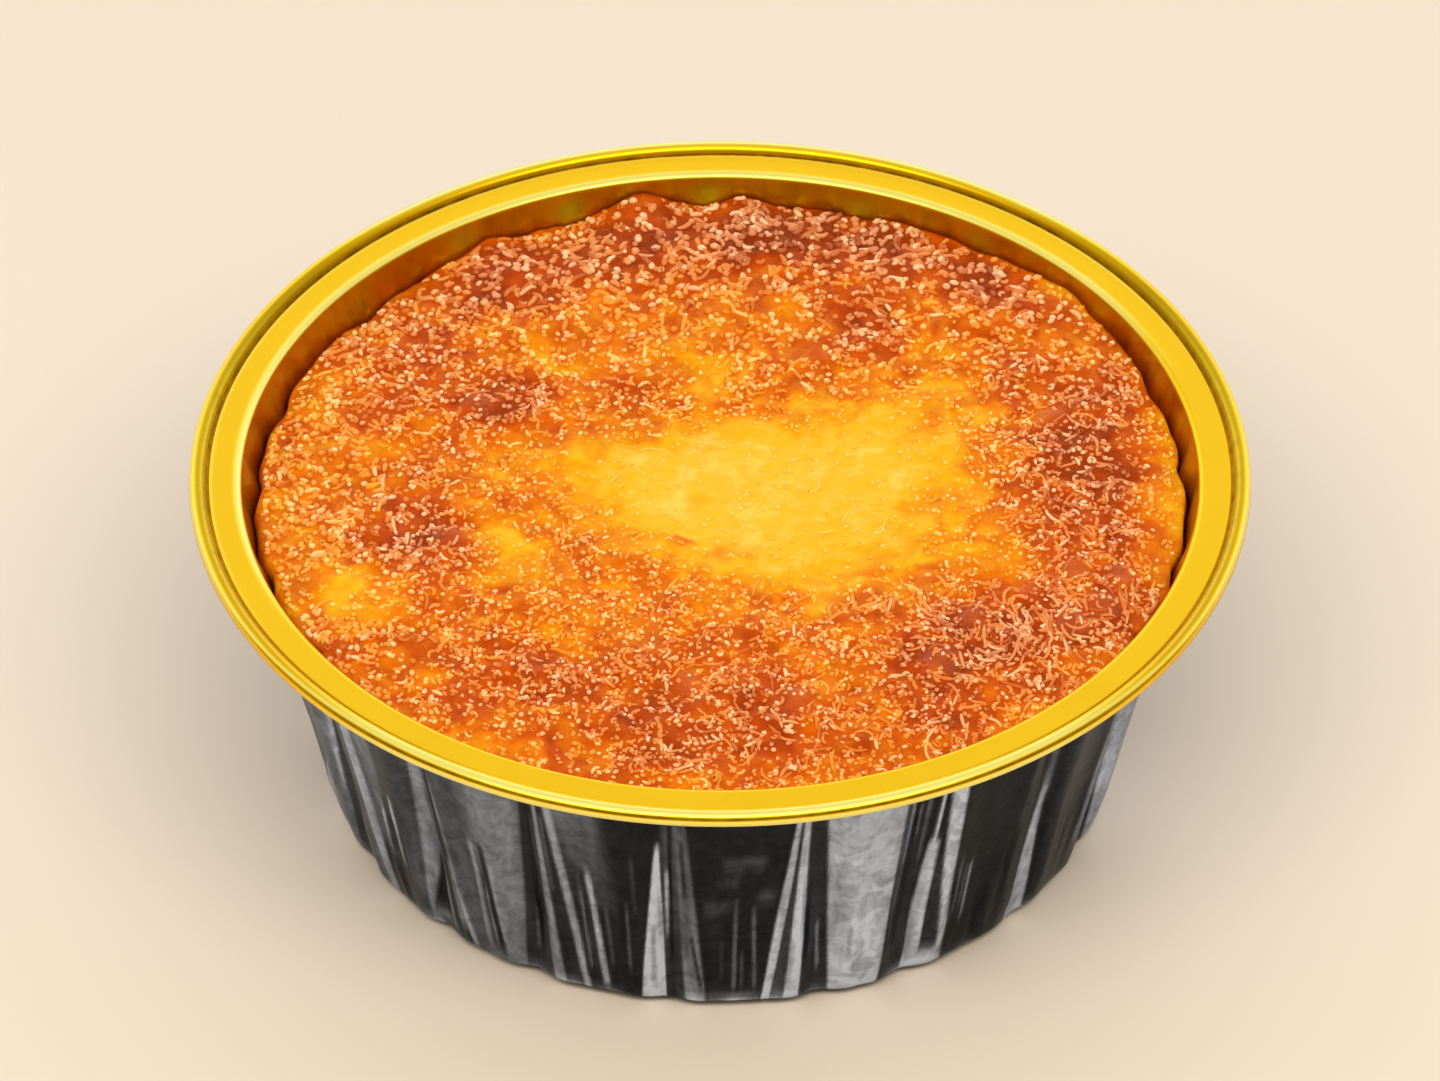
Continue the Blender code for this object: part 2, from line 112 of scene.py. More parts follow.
# Facets and folds of the front's foil, whose brightness is painted reflection: degrees from the front towards
# +X of the left and right edges at the top and at the bottom, depth in millimetres of the top and bottom below
# the bend, painted brightness from 0 to 255 at the top and bottom, and softness of the sides in degrees. Later
# rows lie over earlier ones.
FRONT_FACETS = (
    (-100.0, -59.7, -100.0, -65.2, 0, 44, 117, 114, 0.6),
    (-61.3, -59.6, -64.7, -62.7, 8, 29, 188, 149, 0.5),
    (-68.7, -66.2, -78.7, -73.7, 27, 40, 214, 214, 1.0),
    (-59.5, -56.9, -65.3, -57.1, 2, 39, 56, 60, 0.3),
    (-60.7, -58.7, -61.7, -58.2, 26, 37, 133, 117, 0.8),
    (-58.9, -57.3, -58.7, -57.3, 27, 33, 60, 60, 0.4),
    (-56.9, -55.0, -57.1, -56.1, 2, 44, 98, 100, 0.4),
    (-55.0, -53.4, -56.3, -54.3, 2, 44, 214, 162, 0.35),
    (-53.5, -48.7, -54.5, -49.7, 2, 30, 165, 98, 2.0),
    (-49.2, -41.7, -50.2, -45.2, 2, 44, 72, 76, 1.0),
    (-52.0, -51.0, -51.9, -50.7, 23, 30, 191, 162, 0.3),
    (-50.9, -49.7, -51.7, -50.6, 20, 33, 56, 62, 0.3),
    (-49.0, -48.1, -49.6, -48.8, 19, 31, 214, 162, 0.3),
    (-48.0, -47.4, -48.7, -47.9, 21, 34, 56, 62, 0.3),
    (-42.2, -40.3, -46.3, -40.9, 2, 38, 159, 133, 0.25),
    (-41.9, -41.5, -45.5, -41.9, 25, 36, 32, 32, 0.3),
    (-40.3, -39.4, -40.9, -38.9, 2, 39, 46, 54, 0.25),
    (-39.4, -38.5, -38.2, -36.2, 2, 39, 214, 174, 0.25),
    (-39.7, -38.7, -39.5, -38.2, 24, 36, 146, 130, 0.4),
    (-39.2, -26.0, -37.0, -29.5, 2, 44, 82, 90, 0.5),
    (-34.0, -25.4, -33.0, -29.2, 2, 40, 136, 123, 1.6),
    (-34.6, -33.8, -35.0, -34.1, 18, 37, 165, 146, 0.3),
    (-33.6, -33.0, -33.7, -33.3, 23, 36, 64, 64, 0.2),
    (-33.3, -32.9, -33.3, -32.9, 26, 36, 159, 159, 0.15),
    (-33.0, -32.1, -32.9, -31.9, 18, 37, 42, 46, 0.25),
    (-32.0, -31.3, -31.9, -31.2, 22, 35, 165, 146, 0.3),
    (-25.4, -22.2, -29.4, -19.7, 2, 40, 40, 50, 0.25),
    (-24.6, -24.2, -24.8, -24.4, 9, 24, 111, 90, 0.2),
    (-23.7, -23.1, -24.5, -22.6, 2, 40, 176, 133, 0.25),
    (-22.7, -22.2, -22.6, -22.1, 8, 22, 100, 80, 0.25),
    (-26.9, -26.3, -27.2, -26.6, 29, 35, 106, 96, 0.3),
    (-22.0, -15.5, -19.0, -14.0, 2, 24, 120, 60, 1.5),
    (-22.1, -21.0, -19.8, -18.8, 2, 40, 152, 156, 0.25),
    (-19.3, -18.9, -19.1, -18.6, 17, 37, 50, 50, 0.2),
    (-18.8, -18.5, -18.5, -18.1, 21, 35, 120, 106, 0.2),
    (-18.4, -17.8, -18.0, -17.2, 18, 37, 46, 48, 0.2),
    (-17.7, -17.0, -16.8, -15.8, 17, 38, 186, 162, 0.25),
    (-15.6, -15.1, -15.4, -14.8, 23, 34, 84, 80, 0.3),
    (-12.6, -12.2, -12.7, -12.3, 22, 34, 98, 90, 0.25),
    (-11.4, -11.0, -11.4, -11.0, 13, 23, 72, 66, 0.3),
    (-7.4, -5.0, -7.2, -4.6, 2, 34, 86, 60, 0.4),
    (-8.2, -7.7, -11.8, -7.8, 11, 44, 214, 214, 0.2),
    (-9.2, -8.8, -9.9, -8.9, 26, 38, 139, 174, 0.3),
    (-7.8, -7.4, -7.6, -7.3, 13, 29, 68, 60, 0.15),
    (-7.2, -6.7, -7.6, -7.2, 16, 31, 202, 130, 0.2),
    (-7.6, -6.4, -7.7, -4.6, 28, 44, 56, 56, 0.3),
    (-6.4, -5.9, -7.0, -6.5, 0, 32, 28, 32, 0.15),
    (-5.9, -4.5, -5.0, -1.9, 2, 42, 86, 149, 0.3),
    (-5.1, -4.6, -4.9, -4.4, 10, 20, 46, 54, 0.2),
    (-4.1, -3.7, -2.9, -2.4, 27, 37, 38, 42, 0.2),
    (0.3, 6.0, 0.6, 5.6, 12.0, 14.2, 78, 72, 0.6),
    (-0.5, 2.6, -0.4, 2.4, 15.5, 17.6, 66, 62, 0.6),
    (-2.2, 1.8, -2.0, 1.6, 20.5, 22.8, 64, 60, 0.6),
    (5.0, 7.4, 4.9, 7.0, 18.5, 20.8, 78, 70, 0.6),
    (1.9, 2.4, 1.6, 2.2, 20.5, 37, 96, 100, 0.2),
    (4.2, 4.7, 4.6, 5.1, 22, 36.5, 103, 96, 0.2),
    (-0.1, 0.5, -0.1, 0.5, 28, 35, 62, 60, 0.25),
    (2.8, 3.2, 2.8, 3.2, 30, 37, 80, 76, 0.2),
    (-1.8, 5.5, -1.6, 5.4, 37.5, 44, 80, 84, 0.5),
    (9.7, 10.4, 5.4, 7.1, 2, 44, 174, 214, 0.2),
    (10.2, 10.5, 6.9, 9.2, 9, 40, 54, 76, 0.15),
    (10.6, 11.4, 8.9, 11.4, 1, 44, 202, 206, 0.2),
    (11.4, 12.9, 11.4, 15.8, 0, 44, 46, 52, 0.25),
    (13.4, 13.8, 13.8, 14.2, 27, 35, 146, 126, 0.2),
    (12.3, 12.8, 12.3, 12.8, 27, 33, 84, 78, 0.3),
    (13.0, 23.5, 16.1, 23.0, 0, 44, 174, 183, 0.25),
    (14.4, 16.2, 14.5, 16.0, 12.5, 14.2, 214, 214, 0.5),
    (16.5, 23.0, 16.5, 23.0, 14.6, 16.6, 202, 195, 0.5),
    (17.5, 18.1, 17.6, 18.2, 27, 33, 139, 136, 0.3),
    (23.4, 23.9, 23.7, 24.1, 2, 31, 90, 90, 0.2),
    (24.2, 25.3, 24.1, 24.6, 2, 26, 204, 130, 0.3),
    (25.5, 28.2, 23.2, 27.1, 1, 44, 42, 46, 0.3),
    (26.0, 26.4, 26.0, 26.4, 9, 15, 133, 100, 0.2),
    (27.2, 27.6, 27.2, 27.5, 2, 20, 117, 90, 0.15),
    (28.3, 29.4, 27.0, 29.6, 16, 44, 195, 200, 0.25),
    (28.7, 29.0, 28.6, 29.0, 2, 20, 200, 186, 0.15),
    (29.2, 31.2, 32.0, 33.5, 1, 44, 200, 193, 0.25),
    (29.7, 30.3, 29.7, 32.0, 19, 36, 54, 52, 0.25),
    (29.5, 33.2, 29.0, 33.4, 36, 44, 197, 193, 0.4),
    (33.3, 33.8, 33.6, 34.0, 21, 31, 92, 86, 0.2),
    (34.5, 34.9, 34.6, 35.0, 23, 31, 80, 76, 0.2),
    (35.2, 35.7, 35.4, 35.9, 23, 33, 162, 114, 0.2),
    (42.8, 43.8, 42.4, 43.2, 8, 21, 72, 56, 0.5),
    (47.2, 48.2, 46.8, 48.6, 9, 19, 82, 114, 0.5),
    (47.5, 48.2, 45.5, 50.2, 17, 44, 179, 197, 0.3),
    (50.6, 58.2, 51.6, 57.6, 10, 38, 60, 54, 1.5),
    (59.7, 61.3, 59.2, 60.8, 2, 37, 183, 96, 0.5),
    (61.3, 65.4, 61.0, 69.4, 2, 44, 44, 48, 0.4),
    (64.0, 86.0, 68.2, 89.0, 2, 44, 174, 174, 0.4),
    (72.0, 83.0, 74.0, 86.0, 12, 34, 214, 209, 2.0),
)
# Painted reflection: brightness where no facet lies, brightness above which a fold stands out and below which
# it sinks, and the floor's glow that the painted brightness is a share of
PLAIN_BRIGHTNESS = 36.0
LEVEL_BRIGHTNESS = 95.0
FLOOR_GLOW = 0.64
FACET_FADE = 1.2
FOLD_HEIGHT = 0.42 * MM
FOLD_WIDTH = 4.5
FOLD_REACH = (-0.16 * MM, 0.35 * MM)
FOLD_RUN_OUT = 4.0 * MM
FOOT_CALM_HEIGHT = 6.0 * MM
HIDDEN_INSET = 0.2 * MM

# The painted highlight round the foot, broken up by two waves round the cup, and the painted contact shadow
# under it
FOOT_LINE = 130.0
FOOT_LINE_HEIGHT = 1.3 * MM
FOOT_LINE_REACH = 0.6 * MM
FOOT_LINE_WAVES = (37.0, 23.0)
PAINTED_SHADOW_HEIGHTS = (0.1 * MM, 0.9 * MM)

# Facets of the sides and back, whose brightness is painted reflection: insets of a plain panel's edges from its
# pleats, in degrees
BACK_FACET_SEED = 19
BACK_FROM = 78.0
BACK_PANEL_ENDS = (100.0, 260.0)
BACK_PANEL_BRIGHTNESS = (46.0, 60.0, 90.0, 120.0, 152.0)
BACK_PANEL_INSETS = (0.5, -1.0, 2.0, -2.0)
BACK_PANEL_DEPTHS = (0, 44)
BACK_PANEL_SOFTNESS = 0.5
COPIED_PLEATS = (1, 8)
COPIED_REACH = 6.0

# Fine wrinkles: ranges of middle depth, reach and height in millimetres, and of half width in degrees
WRINKLE_SEED = 31
WRINKLE_COUNT = 260
WRINKLE_MIDDLES = (22.0, 38.0)
WRINKLE_REACHES = (3.0, 9.0)
WRINKLE_WIDTHS = (0.45, 0.9)
WRINKLE_HEIGHTS = (0.05, 0.16)

# Painted highlights and painted shade of the gold round the bead, by degrees up from its outermost point, for
# front and back and for the sides
BEAD_SHADES = (
    (-110, 0.30), (-92, 0.45), (-75, 0.60), (-60, 0.80), (-46, 1.00), (-30, 1.00), (-15, 1.00),
    (0, 1.00), (10, 1.00), (16, 0.80), (21, 0.45), (26, 0.30), (32, 0.28), (38, 0.34),
    (43, 0.70), (49, 0.95), (58, 1.00), (68, 1.00), (78, 1.00), (90, 1.00), (103, 0.94),
    (116, 0.86), (130, 0.76), (143, 0.62), (155, 0.50), (167, 0.42), (178, 0.38), (188, 0.36),
)
SIDE_BEAD_SHADES = (
    (-110, 0.30), (-15, 0.40), (0, 0.45), (10, 0.62), (20, 0.90), (32, 1.00), (52, 1.00),
    (62, 0.88), (74, 0.68), (88, 0.52), (103, 0.46), (188, 0.44),
)

# Painted light of the gold from the floor up the inner wall, round the bend, over the flange and down the
# groove:
# painted shade on the inner wall and in the groove, a painted highlight on the bend
FLOOR_SHADE = 0.30
WALL_SHADES = (0.34, 0.46)
BEND_SHADES = (0.44, 0.70, 1.00, 1.00, 1.00, 1.00, 1.00, 0.98)
FLANGE_SHADE = 0.80
FLANGE_SHADES = (0.96, FLANGE_SHADE, FLANGE_SHADE, 0.94, 0.84)
GROOVE_SHADES = (0.60, 0.46, 0.38, 0.34)

# Where the sides begin, as a cosine of the turn, and degrees from the front where the bend's painted shine
# fades in
SIDE_RANGE = (0.6, 1.0)
DULL_MIDDLE = 25.0
SHINE_RANGE = (78.0, 105.0)

# The cake's dimensions as the solid has them
SIDE_GAP = 0.36 * MM
FLOOR_GAP = 0.3 * MM
EDGE_DEPTH = 3.5 * MM
EDGE_DEPTH_WAVES = ((1, -0.35 * MM, 0.14 * MM), (2, 0.24 * MM, -0.37 * MM), (3, 0.08 * MM, -0.13 * MM))
DOME_DEPTH = 1.65 * MM
DOME_SHOULDER = 0.55
CENTRE_SINK = 0.45 * MM
CENTRE_SINK_RADIUS = 17.0 * MM
SHRUNK_GAPS = ((180.0, 1.0 * MM), (6.0, 0.65 * MM))
SHRUNK_POWER = 3
SHRUNK_FROM = 36.0 * MM
SHRUNK_TO = 38.0 * MM
CRUST_SEED = 41
LUMP_COUNT = 90
LUMP_SPREAD = (0.06, 0.86)
LUMP_RADII = (1.8 * MM, 4.2 * MM)
LUMP_HEIGHTS = (0.25 * MM, 0.75 * MM)
ROUGH_CELLS = ((9.0 * MM, 0.34 * MM), (4.6 * MM, 0.3 * MM))
SMOOTH_CENTRE = 19.0 * MM
SMOOTH_SHARE = 0.65
EDGE_CRAG = 0.45 * MM
EDGE_CRAG_CELL = 9.0 * MM
EDGE_CRAG_SEED = 52
CLIMBING_CRAGS = (
    (41.0, 5.0, 0.8 * MM),
    (87.0, 2.6, 0.8 * MM),
    (100.0, 3.8, 1.9 * MM),
    (121.0, 4.0, 1.6 * MM),
    (150.0, 5.0, 0.6 * MM),
)
CRUST_CELLS = 288
CAKE_LEVELS = (SHRUNK_FROM, UPPER_LEVEL, MIDDLE_LEVEL, LOWER_LEVEL, FOIL + FLOOR_EDGE + 0.15 * MM)
BELOW_CRUST = 0.4 * MM
AXIS_RADIUS = 0.01 * MM
# How far the grain's relief sinks for full painted shade in the hollows
HOLLOW_DEPTH = 0.3 * MM

# Lattices of noise as (cell, strength, seed): what bends the baked patches' outlines, breaks up their colour,
# and roughens the crust
BEND_X_LAYERS = ((5.0 * MM, 1.6 * MM, 61), (2.2 * MM, 0.8 * MM, 62))
BEND_Y_LAYERS = ((5.0 * MM, 1.6 * MM, 63), (2.2 * MM, 0.8 * MM, 64))
PATCHY_LAYERS = ((6.5 * MM, 0.10, 65), (3.0 * MM, 0.12, 66), (1.5 * MM, 0.13, 67))
GRAINY_LAYERS = ((2.4 * MM, 0.26 * MM, 71), (1.3 * MM, 0.22 * MM, 72), (0.8 * MM, 0.13 * MM, 73))

# Browning: centre in millimetres, radii in millimetres, turn in degrees, change of the browning
MIDDLE_BROWNING = 0.50
SIDE_BROWNING = 0.6
BAKED_PATCHES = (
    (5.5, 0.5, 21.0, 10.5, 2.0, -0.52),
    (-8.0, 3.0, 12.0, 9.0, 0.0, -0.15),
    (20.0, 8.0, 14.0, 8.0, 0.0, -0.16),
    (7.0, -12.0, 20.0, 8.0, 0.0, -0.17),
    (5.0, 45.5, 21.0, 8.5, 0.0, 0.46),
    (-23.0, 38.0, 12.0, 6.0, 30.0, 0.28),
    (31.0, 36.0, 12.0, 6.0, -35.0, 0.38),
    (16.0, 30.0, 5.0, 5.0, 0.0, 0.34),
    (-25.5, 14.5, 7.0, 5.5, 0.0, 0.34),
    (-36.0, 24.0, 9.0, 9.0, 40.0, 0.14),
    (-34.0, -10.0, 7.0, 7.0, 0.0, 0.40),
    (42.0, 2.0, 8.5, 19.0, 0.0, 0.41),
    (30.0, -28.0, 17.0, 8.0, 38.0, 0.42),
    (0.0, -41.0, 11.0, 7.0, 0.0, 0.30),
    (-20.0, -34.0, 12.0, 7.0, -25.0, 0.18),
    (-42.0, -17.0, 4.5, 5.5, 0.0, -0.29),
    (-25.0, -11.0, 4.5, 3.5, 0.0, -0.36),
    (-20.0, 21.0, 5.0, 3.0, 0.0, -0.24),
    (15.0, -12.0, 10.0, 5.0, 20.0, -0.16),
    (51.5, 4.0, 3.6, 20.0, 0.0, -0.34),
    (38.0, 36.5, 3.4, 9.0, 45.0, -0.30),
    (-50.5, -13.0, 3.0, 10.0, 0.0, -0.12),
    (-2.3, -2.8, 1.6, 1.2, 0.0, 0.22),
    (-4.5, -9.0, 1.5, 1.1, 0.0, 0.20),
)

# Blisters of the crust: centre, radius and height in millimetres
BLISTERS = (
    (45.2, -14.5, 1.7, 0.55),
    (40.0, -14.5, 1.6, 0.5),
    (43.0, -20.1, 1.8, 0.6),
    (39.6, -23.3, 1.7, 0.5),
    (28.1, -23.3, 1.5, 0.6),
    (24.5, -31.0, 2.0, 0.6),
    (34.5, -18.5, 1.3, 0.4),
    (8.5, -37.0, 1.6, 0.45),
    (-3.5, -34.5, 1.5, 0.4),
    (-30.5, -9.0, 1.8, 0.4),
    (-27.5, 13.5, 1.6, 0.45),
    (37.5, 12.0, 1.6, 0.45),
)
PATCH_POWER = 1.3
BLISTER_TOP = 0.35 * MM

# What lies on the crust: seed, distance from the edge, then ranges in millimetres, and shares of a tint's draw
SHRED_SEED = 101
SHRED_MARGIN = 0.8 * MM
SHRED_LENGTHS = (1.6, 3.2)
SHRED_THICKNESS = (0.17, 0.25)
SHRED_BEND = 0.7
SHRED_SPREAD = 0.3
SHRED_KNOTS = 7
SHRED_TINTS = (1.2, 2.2)
KERNEL_SEED = 103
KERNEL_MARGIN = 0.5 * MM
KERNEL_LENGTHS = (0.5, 1.3)
KERNEL_THICKNESS = (0.19, 0.28)
KERNEL_BEND = 2.3
KERNEL_SPREAD = 1.0
KERNEL_KNOTS = 5
KERNEL_TINTS = (0.9, 1.3)
GRAIN_SEED = 102
GRAIN_MARGIN = 0.4 * MM
GRAIN_SIZES = (0.22, 0.39)
GRAIN_STRETCHES = (0.75, 1.35)
GRAIN_FLATNESS = 0.7
GRAIN_TINTS = (1.0, 1.1)
TUBE_SIDES = 5
TUBE_MARGIN = 0.5 * MM
TUBE_ENDS = (0.14, 0.86)
TIP_REACH = 0.6
LIFT = 0.1
HEADING_STEP = 0.25 * MM

# The stage, in metres and degrees
FLOOR_SIDE = 6.0
FLOOR_COLOUR = (246, 229, 208)
SOFTBOX_PLACE = (0.0, -0.6, 1.03)
SOFTBOX_AIM = (0.0, 0.0, 0.03)
SOFTBOX_SIZE = (1.5, 0.42)
SOFTBOX_POWER = 8.6
SOFTBOX_COLOUR = (1.03, 1.0, 0.96)
WARM_FRONT = (1.12, 1.0, 0.82, 1.0)
COOL_BACK = (0.95, 1.0, 1.06, 1.0)
CAMERA_ELEVATION = 40.0
CAMERA_DISTANCE = 1.8
CAMERA_AIM_HEIGHT = 0.0314
CAMERA_LENS = 396.9
CAMERA_REACH = 20.0


# --- small helpers for values on arrays ---------------------------------------------------------------


def blend_step(low, high, value):
    """0 below low, 1 above high, and 3s^2 - 2s^3 of the share s between them."""
    share = np.clip((value - low) / (high - low), 0.0, 1.0)
    return share * share * (3.0 - 2.0 * share)


def bell(value, width):
    """A bell curve: e to the power of minus the square of value over width."""
    return np.exp(-((value / width) ** 2))


def smooth_noise(x, y, cell, seed, reach=1.2 * RIM_RADIUS):
    """Values from -1 to 1 on a square lattice of the cell's size, blended smoothly between its knots."""
    count = 2 + int(2.0 * reach / cell)
    knots = np.random.default_rng(seed).uniform(-1.0, 1.0, (count + 1, count + 1))
    across = np.clip((x + reach) / cell, 0.0, count - 0.001)
    along = np.clip((y + reach) / cell, 0.0, count - 0.001)
    column = across.astype(int)
    row = along.astype(int)
    u = blend_step(0.0, 1.0, across - column)
    v = blend_step(0.0, 1.0, along - row)
    low = knots[row, column] * (1.0 - u) + knots[row, column + 1] * u
    high = knots[row + 1, column] * (1.0 - u) + knots[row + 1, column + 1] * u
    return low * (1.0 - v) + high * v


def layered_noise(x, y, layers):
    """The sum of several lattices of noise, each times its strength."""
    return sum(strength * smooth_noise(x, y, cell, seed) for cell, strength, seed in layers)


def arc(centre, radius, first, last, count):
    """Points on a circle in the section plane: centre + radius (cos a, sin a), a in degrees."""
    turn = np.radians(np.linspace(first, last, count))
    return np.stack([centre[0] + radius * np.cos(turn), centre[1] + radius * np.sin(turn)], axis=1)


def straight(start, end, count):
    """Evenly spaced points from start to end in the section plane."""
    share = np.linspace(0.0, 1.0, count)[:, None]
    return np.array(start) * (1.0 - share) + np.array(end) * share


def closed_grid_faces(rows, columns):
    """Quads of a grid whose columns close on themselves, rows running from the first ring to the last."""
    row = np.arange(rows - 1)[:, None] * columns
    here = np.arange(columns)[None, :]
    following = (here + 1) % columns
    quads = [row + here, row + following, row + columns + following, row + columns + here]
    return np.stack(quads, axis=2).reshape(-1, 4)


def make_mesh(name, points, faces, attributes=()):
    """A smooth mesh from whole arrays of points and equal-sided faces, with named values on its points."""
    mesh = bpy.data.meshes.new(name)
    count, sides = faces.shape
    mesh.vertices.add(len(points))
    mesh.vertices.foreach_set("co", points.astype(np.float32).ravel())
    mesh.loops.add(count * sides)
    mesh.loops.foreach_set("vertex_index", faces.astype(np.int32).ravel())
    mesh.polygons.add(count)
    mesh.polygons.foreach_set("loop_start", np.arange(0, count * sides, sides, dtype=np.int32))
    mesh.polygons.foreach_set("use_smooth", np.full(count, True))
    mesh.update(calc_edges=True)
    for label, values in dict(attributes).items():
        layer = mesh.attributes.new(label, "FLOAT", "POINT")
        layer.data.foreach_set("value", values.astype(np.float32).ravel())
    mesh.validate()
    return mesh


def close_poles(mesh):
    """Merges the points of the rings at the axis and turns all faces outwards."""
    shell = bmesh.new()
    shell.from_mesh(mesh)
    at_axis = [point for point in shell.verts if point.co.xy.length < AXIS_RADIUS]
    bmesh.ops.remove_doubles(shell, verts=at_axis, dist=2.0 * AXIS_RADIUS)
    bmesh.ops.recalc_face_normals(shell, faces=shell.faces)
    shell.to_mesh(mesh)
    shell.free()
    return mesh


def add_piece(name, mesh, materials):
    """A visible object at the origin with its materials."""
    piece = bpy.data.objects.new(name, mesh)
    for material in materials:
        mesh.materials.append(material)
    bpy.context.scene.collection.objects.link(piece)
    return piece


# --- shader expressions -------------------------------------------------------------------------------


class Wire:
    """An output socket of a material. Arithmetic on it adds Math nodes to the same tree."""

    def __init__(self, tree, socket=None):
        self.tree = tree
        self.socket = socket

    def node(self, kind, settings, inputs, output=0):
        """Adds a node: its settings first, then the values or wires of its sockets. Returns one output."""
        made = self.tree.nodes.new(kind)
        for key, value in settings.items():
            if key == "stops":
                set_stops(made.color_ramp, value)
            else:
                setattr(made, key, value)
        for key, value in inputs.items():
            if isinstance(value, Wire):
                self.tree.links.new(value.socket, made.inputs[key])
            else:
                made.inputs[key].default_value = value
        return Wire(self.tree, made.outputs[output])

    def maths(self, operation, first, second=0.0):
        """A Math node on two values."""
        return self.node("ShaderNodeMath", {"operation": operation}, {0: first, 1: second})

    def __add__(self, other):
        return self.maths("ADD", self, other)

    __radd__ = __add__

    def __sub__(self, other):
        return self.maths("SUBTRACT", self, other)

    def __rsub__(self, other):
        return self.maths("SUBTRACT", other, self)

    def __mul__(self, other):
        return self.maths("MULTIPLY", self, other)

    __rmul__ = __mul__

    def size(self):
        """The value without its sign."""
        return self.maths("ABSOLUTE", self)

    def between(self, low, high):
        """0 below low, 1 above high, smooth between."""
        places = {"Value": self, "From Min": low, "From Max": high}
        return self.node("ShaderNodeMapRange", {"interpolation_type": "SMOOTHSTEP"}, places)

    def ramp(self, stops):
        """A colour from stops of (place, colour)."""
        return self.node("ShaderNodeValToRGB", {"stops": stops}, {"Fac": self}, "Color")

    def mixed(self, first, second):
        """A colour from the first to the second by this value."""
        places = {"Factor": self, 6: first, 7: second}
        return self.node("ShaderNodeMix", {"data_type": "RGBA"}, places, 2)


def set_stops(ramp, stops):
    """Gives a colour ramp exactly these stops."""
    while len(ramp.elements) > 1:
        ramp.elements.remove(ramp.elements[-1])
    ramp.elements[0].position = stops[0][0]
    ramp.elements[0].color = stops[0][1]
    for place, colour in stops[1:]:
        ramp.elements.new(place).color = colour


def display_colour(red, green, blue):
    """A colour given as display values from 0 to 255, as scene-linear values."""
    shares = np.array([red, green, blue]) / 255.0
    linear = np.where(shares <= 0.04045, shares / 12.92, ((shares + 0.055) / 1.055) ** 2.4)
    return (*linear.tolist(), 1.0)


def display_stops(*rows):
    """Stops of a colour ramp from rows of (place, red, green, blue) in display values."""
    return tuple((place, display_colour(*colour)) for place, *colour in rows)


def start_material(name):
    """A new material, the start of its wires and the Principled shader's node."""
    material = bpy.data.materials.new(name)
    material.use_nodes = True
    return material, Wire(material.node_tree), material.node_tree.nodes["Principled BSDF"]


def plug(shader, **sockets):
    """Sets or links the sockets of a shader node; an underscore in a name stands for a space."""
    for label, value in sockets.items():
        socket = shader.inputs[label.replace("_", " ")]
        if isinstance(value, Wire):
            value.tree.links.new(value.socket, socket)
        else:
            socket.default_value = value


def attribute(start, label):
    """A named value of the mesh."""
    return start.node("ShaderNodeAttribute", {"attribute_name": label}, {}, "Fac")


def object_place(start):
    """Places on the piece, in metres."""
    return start.node("ShaderNodeTexCoord", {}, {}, "Object")


def squashed(start, place, share):
    """Places with only a share of their height, so that noise on them runs down the wall."""
    return start.node("ShaderNodeVectorMath", {"operation": "MULTIPLY"}, {0: place, 1: (1.0, 1.0, share)})


def noise(start, place, size, detail=2.0, roughness=0.5, distortion=0.0):
    """Noise with blobs of a size in metres."""
    sockets = {"Vector": place, "Scale": 1.0 / size, "Detail": detail}
    sockets |= {"Roughness": roughness, "Distortion": distortion}
    return start.node("ShaderNodeTexNoise", {}, sockets, "Fac")


def bump(start, height, strength, distance):
    """A normal bent by a height."""
    return start.node("ShaderNodeBump", {}, {"Height": height, "Strength": strength, "Distance": distance})


# --- the cup ------------------------------------------------------------------------------------------


def inner_wall_radius(height):
    """Radius of the wall's inner face, a straight cone from the floor's edge to the mouth."""
    share = (height - FOIL) / (BEND_START - FOIL)
    start = FLOOR_RADIUS + FLOOR_STEP
    return start + (MOUTH_RADIUS - start) * share


def wall_point(height, out=0.0):
    """The point of the inner wall's section at a height, moved outwards."""
    return inner_wall_radius(height) + out, height


def pleats():
    """All pleats round the wall: the listed front ones, then evenly spaced ones with a seeded shift."""
    draw = np.random.default_rng(PLEAT_SEED)
    rows = list(FRONT_PLEATS)
    first = FRONT_PLEATS[-1][0]
    last = FRONT_PLEATS[0][0] + 360.0
    for number in range(1, BACK_PLEAT_COUNT + 1):
        even = first + (last - first) * number / (BACK_PLEAT_COUNT + 1)
        angle = even + draw.uniform(-BACK_PLEAT_JITTER, BACK_PLEAT_JITTER)
        depth = draw.uniform(*BACK_PLEAT_DEPTHS)
        lean = draw.uniform(-BACK_PLEAT_LEAN, BACK_PLEAT_LEAN)
        rows.append((angle, BACK_PLEAT_WIDTH, depth, lean))
    return rows


def degrees_apart(first, second):
    """Signed difference of two angles in degrees, from -180 to 180."""
    return (first - second + 180.0) % 360.0 - 180.0


def pleat_offset(turn, height):
    """How far a pleated wall stands out: a narrow valley between two low shoulders for each pleat.

    All three are bell curves of the angle. They fade in a straight line to nothing at the bend, and to a
    share of their depth at the foot.
    """
    from_front = np.degrees(turn) + 90.0
    fall = 1.0 - height / FLANGE_TOP
    total = np.zeros(np.broadcast(turn, height).shape)
    for angle, width, depth, lean in pleats():
        away = degrees_apart(from_front, angle + lean * fall)
        shoulders = bell(np.abs(away) - SHOULDER_PLACE * width, width)
        total += depth * (PLEAT_SHOULDER * shoulders - bell(away, width))
    run_out = np.clip((BEND_START - height) / PLEAT_RUN_OUT, 0.0, 1.0)
    foot = PLEAT_FOOT_SHARE + (1.0 - PLEAT_FOOT_SHARE) * np.clip(height / PLEAT_FOOT_HEIGHT, 0.0, 1.0)
    return total * run_out * foot


